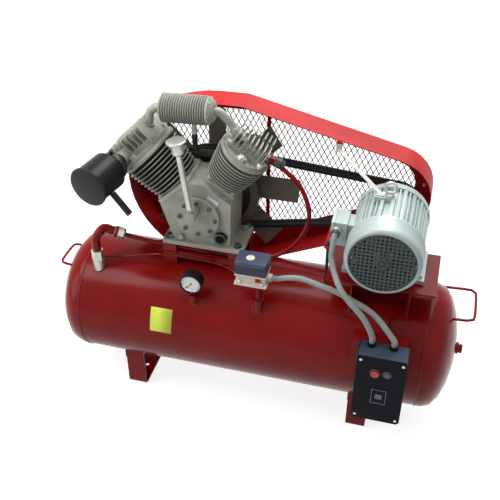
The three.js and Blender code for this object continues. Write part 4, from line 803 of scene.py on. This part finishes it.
# each strand is a straight line cut by the touching lines moved in: its ends are where it first meets one each way
def makeGuardMesh(d):
    normal, reach, _ = guardEdge(d, 360)
    centre = np.array(d["middle"])
    room = reach - d["inset"] - normal @ centre
    chunks = []
    slope = math.atan2(d["tall"], d["wide"])
    pitch = d["wide"] * math.sin(slope)
    for k, angle in enumerate((slope, -slope)):
        run = np.array([math.cos(angle), math.sin(angle)])
        out = np.array([-run[1], run[0]])
        speed = normal @ run
        for s in np.arange(-60, 61) * pitch:
            left = room - (normal @ out) * s
            high = (left[speed > 0.01] / speed[speed > 0.01]).min()
            low = (left[speed < -0.01] / speed[speed < -0.01]).max()
            if high - low < 12:
                continue
            mid = centre + out * s + run * (low + high) / 2
            place = (mid[0], d["back"] - 1.4 - k, mid[1])
            sides = ((run[0], 0, run[1]), (0, 1, 0), (out[0], 0, out[1]))
            chunks.append(brick(place, sides, ((high - low) / 2, d["thick"] / 2, d["strand"] / 2)))
    thing = addPiece("guard_expanded_mesh", chunks, "meshStrand", smooth=False, merge=0)
    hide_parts("guard_mesh")


# a bolt head and its nut at even steps along the border's line, moved in along the normal
def makeGuardBolts(d):
    normal, _, touch = guardEdge(d, 720)
    along = np.concatenate([[0], np.cumsum(np.linalg.norm(np.diff(touch, axis=0), axis=1))])
    picks = np.searchsorted(along, np.linspace(0, along[-1], d["bolts"], endpoint=False))
    heads = []
    for x, z in (touch - normal * d["boltInset"])[picks]:
        heads.append(boltHead((x, d["back"] - 0.2, z), (0, -1, 0), 10, 5))
        heads.append(boltHead((x, d["back"] + 1.8, z), (0, 1, 0), 10, 4))
    addPiece("guard_bolts", heads, "zincPlate", smooth=False)


makeGuardMesh(guardSet)
makeGuardBolts(guardSet)
print("guard made")

# conduits, ribbed tubes along listed points
conduitSet = {
    "radius": 8.6, "rib": 0.4, "pitch": 5,
    "conduit_motor": [
        (254.7, -88.5, 744), (254.7, -104, 744), (254.7, -120, 722), (254.7, -138, 686), (269.7, -164, 656),
        (299, -207, 630), (328, -224, 606), (366, -239, 577), (393, -250, 542), (405, -255, 514), (405, -255, 500.3),
    ],
    "conduit_switch": [
        (81.3, -133, 572), (97, -133, 572), (123, -139, 586), (170, -153, 604), (231, -168, 603), (284, -178, 597),
        (332, -190, 585), (373, -206, 578), (408, -224, 567), (439, -241, 544), (468, -255, 514), (468, -255, 500.3),
    ],
}


# even steps along the smooth curve; the radius is the middle one plus the rib's height times a cosine per rib
def makeConduit(node, d):
    s, path = evenSteps(smoothRun(d[node], 2400), d["pitch"], 4)
    radius = d["radius"] + d["rib"] * np.cos(s / d["pitch"] * 2 * np.pi)
    thing = addPiece(node + "_ribbed", [tubeAlong(path, radius, 14)], "conduitGrey", sharp=70)
    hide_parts(node)
    print(node, "length", round(float(s[-1])), "mm")


makeConduit("conduit_motor", conduitSet)
makeConduit("conduit_switch", conduitSet)
print("conduits made")

gaugeSet = {
    "at": (-168, -168, 521), "dial": 30.4, "depth": 4, "glass": 30.6, "marks": 41, "start": 225, "sweep": 270,
    "markEnd": 27.5, "arc": 27.8,
}


# dial, scale, rim and glass: the marks stand at even angles back from the start, each fifth one longer and wider
def makeGauge(d):
    place = np.array(d["at"], float)
    face = place + back * (d["depth"] - 0.5)
    markFace = face - back * 0.15
    addPiece("gauge_dial", [flatDisc(face, back, d["dial"], 0.4, 48)], "dialWhite")
    marks = []
    for k in range(d["marks"]):
        angle = math.radians(d["start"] - k / (d["marks"] - 1) * d["sweep"])
        out = right * math.cos(angle) + upright * math.sin(angle)
        half, width = (2.6, 0.55) if k % 5 == 0 else (1.4, 0.28)
        spot = markFace + out * (d["markEnd"] - half)
        marks.append(brick(spot, (out, np.cross(back, out), back), (half, width, 0.1)))
    a = np.linspace(math.radians(d["start"]), math.radians(d["start"] - d["sweep"]), 60)
    arc = markFace + d["arc"] * (np.cos(a)[:, None] * right + np.sin(a)[:, None] * upright)
    marks.append(tubeAlong(arc, 0.3, 5))
    addPiece("gauge_scale", marks, "inkBlack", smooth=False, merge=0)
    rim = [(30.9, 0.6), (31.2, -0.4), (33, -1), (34.6, -0.4), (34.8, 2), (34.2, 3), (30.9, 3), (30.9, 0.6)]
    addPiece("gauge_rim", [turned(rim, place, back, 64)], "blackPlastic", sharp=50)
    addPiece("gauge_glass", [flatDisc(place + back * 0.1, back, d["glass"], 0.7, 48)], "clearLens")


makeGauge(gaugeSet)
print("gauge made")

starterSet = {
    "x": 443, "width": 144, "low": 236, "top": 488, "front": -306, "lid": -272, "lidHalf": 31,
    "stop": (427, 432), "start": (461, 432), "badge": (445, 339), "badgeHalf": (21, 27),
}


# a round bezel: a flat ring with rounded edges, turned about the line that runs back
def ringAt(x, z, y, inner, outer, proud):
    profile = [
        (inner, 1), (inner, -proud + 0.6), (inner + 0.6, -proud), (outer - 0.8, -proud), (outer, -proud + 0.8),
        (outer, 1), (inner, 1),
    ]
    return turned(profile, (x, y, z), back, 40)


# bezels round the buttons, a blank badge in its frame, four screws, and lighter sheets on the top and left side of
# the cover, painted light where the lamps fall
def makeStarter(d):
    y, square = d["front"], (right, back, upright)
    bezels = [ringAt(*d["stop"], y, 12.8, 15, 2.4), ringAt(*d["start"], y, 10.8, 13, 2.0)]
    addPiece("starter_bezels", bezels, "badgeGrey", sharp=50)
    (x, z), (wide, tall) = d["badge"], d["badgeHalf"]
    bars = [brick((x, y - 0.3, z), square, (10, 0.8, 9))]
    for side in (-1, 1):
        bars.append(brick((x + side * wide, y - 0.5, z), square, (1.1, 1, tall + 1)))
        bars.append(brick((x, y - 0.5, z + side * tall), square, (wide, 1, 1.1)))
    addPiece("starter_badge_frame", bars, "badgeGrey", smooth=False)
    screw = [(0, -1.6), (3.4, -1.6), (4.6, -0.6), (4.6, 1), (0, 1)]
    screws = []
    for sx in (-1, 1):
        for sz in (d["low"] + 14, d["top"] - 14):
            screws.append(turned(screw, (d["x"] + sx * (d["width"] / 2 - 12), y, sz), back, 20))
    addPiece("starter_screws", screws, "zincPlate")
    # painted light: lighter sheets over the cover's top and left side
    lid = [brick((d["x"], d["lid"], d["top"] + 0.9), square, (d["width"] / 2 - 3, d["lidHalf"], 0.7))]
    left, level = d["x"] - d["width"] / 2 + 0.2, (d["low"] + d["top"]) / 2
    lid.append(brick((left, d["lid"], level), square, (0.7, d["lidHalf"], 120)))
    addPiece("starter_painted_light_top", lid, "paintedLightStarterTop", smooth=False)


makeStarter(starterSet)
print("starter made")

switchSet = {
    "left": -27, "right": 69, "front": -165, "back": -101, "middle": -133, "bottom": 552, "top": 638, "split": 592,
    "skirt": 609, "screws": 566,
}


# a blank disc on top, darker sheets on the cover's sides as painted shade, two lips round the base, a lever and two
# screws: bricks and turned discs
def makeSwitch(d):
    square = (right, back, upright)
    middle = (d["left"] + d["right"]) / 2
    disc = [turned([(0, -0.2), (13, -0.2), (13, 0.5), (0, 0.5)], (middle - 6, -136, d["top"] + 0.1), upright, 40)]
    addPiece("switch_blank_disc", disc, "switchCream")
    # painted shade: darker sheets on the front, back and right of the cover
    skirt = [brick((middle, y, d["skirt"]), square, (48.2, 0.5, 14)) for y in (d["front"] - 0.3, d["back"] + 0.3)]
    skirt.append(brick((d["right"] + 0.3, d["middle"], d["skirt"]), square, (0.5, 32, 14)))
    addPiece("switch_cover_painted_shade", skirt, "paintedShadeSwitchBlue", smooth=False)
    lip = [brick((middle, d["middle"], d["bottom"] + 3), square, (50, 34, 3))]
    lip.append(brick((middle, d["middle"], d["split"] - 3), square, (48.6, 32.6, 2.4)))
    addPiece("switch_base_lips", lip, "switchCream", smooth=False)
    lever = [brick((middle + 24, d["front"] - 0.5, 578), square, (8, 3, 4))]
    addPiece("switch_lever", lever, "tankEnamel", smooth=False)
    sides = (d["left"] + 14, d["right"] - 14)
    screws = [boltHead((x, d["front"] + 2.6, d["screws"]), (0, -1, 0), 9, 4) for x in sides]
    addPiece("switch_screws", screws, "zincPlate", smooth=False)


makeSwitch(switchSet)
print("switch made")

beadSet = {
    "tank": 200, "axisZ": 300, "half": 555, "size": 2.2, "step": 5.5, "thin": 1.8, "thinStep": 4.5,
    "fittings": [(-507, -96, 19), (39, -133, 17), (-168, -142, 13)], "footSides": (-430, -366, 344, 408),
    "footReach": 138.5, "bracket": (318, 486), "bracketHalf": 3.6,
}
stickerSet = {"left": -304.0, "right": -232.0, "low": 188, "high": 212, "radius": 200.35, "rows": 14}


# a bead lies along a line, its radius rising and falling by a cosine at each ripple
def bead(points, size, step):
    s, path = evenSteps(np.asarray(points, float), step, 3)
    return tubeAlong(path, size * (1 + 0.16 * np.cos(s / step * 2 * np.pi)), 8)


# the receiver's top at a depth y: the axis plus the square root of the radius squared less y squared
def tankZ(y):
    return beadSet["axisZ"] + np.sqrt(np.maximum(beadSet["tank"] ** 2 - y * y, 0))


# seam beads where the heads meet the shell, and thinner ones round the fittings, up the feet and by the bracket
def makeBeads(d):
    chunks = []
    a = np.linspace(0, 2 * np.pi, 181)
    r = d["tank"] * math.cos(math.pi / 36) + 0.6
    for x in (-d["half"], d["half"]):
        ring = np.stack([np.full_like(a, x), r * np.cos(a), d["axisZ"] + r * np.sin(a)], 1)
        chunks.append(bead(ring, d["size"], d["step"]))
    b = np.linspace(0, 2 * np.pi, 41)
    for x, y, size in d["fittings"]:
        py = y + size * np.sin(b)
        chunks.append(bead(np.stack([x + size * np.cos(b), py, tankZ(py) + 0.6], 1), 2.0, d["thinStep"]))
    for x in d["footSides"]:
        for y in (-d["footReach"], d["footReach"]):
            line = np.stack([np.full(3, x), np.full(3, y), np.linspace(124, 154, 3)], 1)
            chunks.append(bead(line, d["thin"], d["thinStep"]))
    y = np.linspace(-105, 54, 40)
    for x in d["bracket"]:
        for side in (-d["bracketHalf"], d["bracketHalf"]):
            line = np.stack([np.full(40, x + side), y, tankZ(y) + 0.8], 1)
            chunks.append(bead(line, d["thin"], d["thinStep"]))
    addPiece("weld_beads", chunks, "weldBead", sharp=80, merge=0)


# a blank patch wrapped on the front of the shell: radius times cosine and sine of an even run of angles
def makeSticker(d):
    angle = np.linspace(math.radians(d["high"]), math.radians(d["low"]), d["rows"])
    x, t = np.meshgrid([d["left"], d["right"]], angle)
    height = beadSet["axisZ"] + d["radius"] * np.abs(np.sin(t))
    grid = np.stack([x, d["radius"] * np.cos(t), height], 2)
    sticker = addPiece("blank_sticker", [(grid, gridQuads(d["rows"], 2))], "labelLime")
    sticker.modifiers.new("sheet", "SOLIDIFY").thickness = 0.0003


makeBeads(beadSet)
makeSticker(stickerSet)
print("beads and sticker made")

detailSet = {
    "plate": (46, -30.4, 60), "plateHalves": (20, 0.6, 12), "filterAim": (-0.25, -0.966, -0.06),
    "gland": (254.7, 744), "relief": (96, -44.6), "sight": (72, -41.6, 616),
}


# blank plate, filter lid, gland collars, the relief valve's pale stem, the sight glass: bricks and turned profiles
def makePumpDetails(d):
    x, y, z = d["plate"]
    plate = [brick((crank[0] + x, y, crank[2] + z), (highAcross, back, highAxis), d["plateHalves"])]
    addPiece("pump_blank_plate", plate, "plateBare", smooth=False)
    aimed = unit(d["filterAim"])
    face = lowCentre + lowAxis * 283 - lowAcross * 40 - back * 58 + aimed * 24.3
    lid = [(0, 155), (60.6, 155), (60.6, 149), (62, 150), (62.4, 154), (61, 156.5), (58, 157.2), (0, 157.4)]
    addPiece("filter_lid_rim", [turned(lid, face, aimed, 56)], "filterBlack", sharp=50)
    x, z = d["gland"]
    nut = [(9.4, 0), (15, 0), (15, 9), (12, 12), (9.4, 12), (9.4, 0)]
    ring = [(9.4, 0), (13.6, 0), (13.6, 5), (9.4, 5), (9.4, 0)]
    collars = [turned(nut, (x, -89, z), (0, -1, 0), 6), turned(ring, (x, -101, z), (0, -1, 0), 24)]
    addPiece("terminal_gland_collar", collars, "boltDark", sharp=30)
    left, far = (np.array(coolerSet[k], float) for k in ("left", "right"))
    along, down = d["relief"]
    spot = left + unit(far - left) * along + upright * down
    stem = [turned([(7.2, 0), (7.4, 0), (7.4, 33), (7.2, 33)], spot, (0, 0, -1), 24)]
    addPiece("relief_stem_sleeve", stem, "castPaint")
    x, y, z = d["sight"]
    rim = [(13, 0.6), (13, -1.6), (14, -2.6), (18, -2.6), (20, -1), (20, 0.6), (13, 0.6)]
    glass = [(0, -0.2), (12.8, -0.2), (12.8, 0.3), (0, 0.3)]
    spot = (crank[0] + x, y, z)
    addPiece("sight_glass_ring", [turned(rim, spot, back, 40)], "boltDark", sharp=50)
    addPiece("sight_glass_lens", [turned(glass, spot, back, 40)], "inkBlack")


makePumpDetails(detailSet)
print("pump details made")

# the floor is one square sheet, matte where light falls on it and near white where it is looked at
floorSet = {"half": 12.0, "drop": 0.0005, "tone": (0.42, 0.42, 0.425, 1), "seen": 0.8, "unseen": 0.05}
s = floorSet["half"]
floorMesh = bpy.data.meshes.new("floor")
floorMesh.from_pydata([(-s, -s, 0), (s, -s, 0), (s, s, 0), (-s, s, 0)], [], [(0, 1, 2, 3)])
floor = bpy.data.objects.new("floor", floorMesh)
bpy.context.scene.collection.objects.link(floor)
floor.location = (0, 0, -floorSet["drop"])
floorMaterial = bpy.data.materials.new("paleFloor")
floorMaterial.use_nodes = True
add = nodeTree(floorMaterial.node_tree)
matte = add("ShaderNodeBsdfDiffuse", {"Color": floorSet["tone"]})
glow = add("ShaderNodeEmission", {"Color": (1, 1, 1, 1), "Strength": floorSet["seen"]})
none = add("ShaderNodeEmission", {"Color": (1, 1, 1, 1), "Strength": floorSet["unseen"]})
lit = add("ShaderNodeMixShader", {0: seenRays(add), 1: none.outputs[0], 2: glow.outputs[0]})
both = add("ShaderNodeAddShader", {0: matte.outputs[0], 1: lit.outputs[0]})
add("ShaderNodeOutputMaterial", {"Surface": both.outputs[0]})
floorMesh.materials.append(floorMaterial)
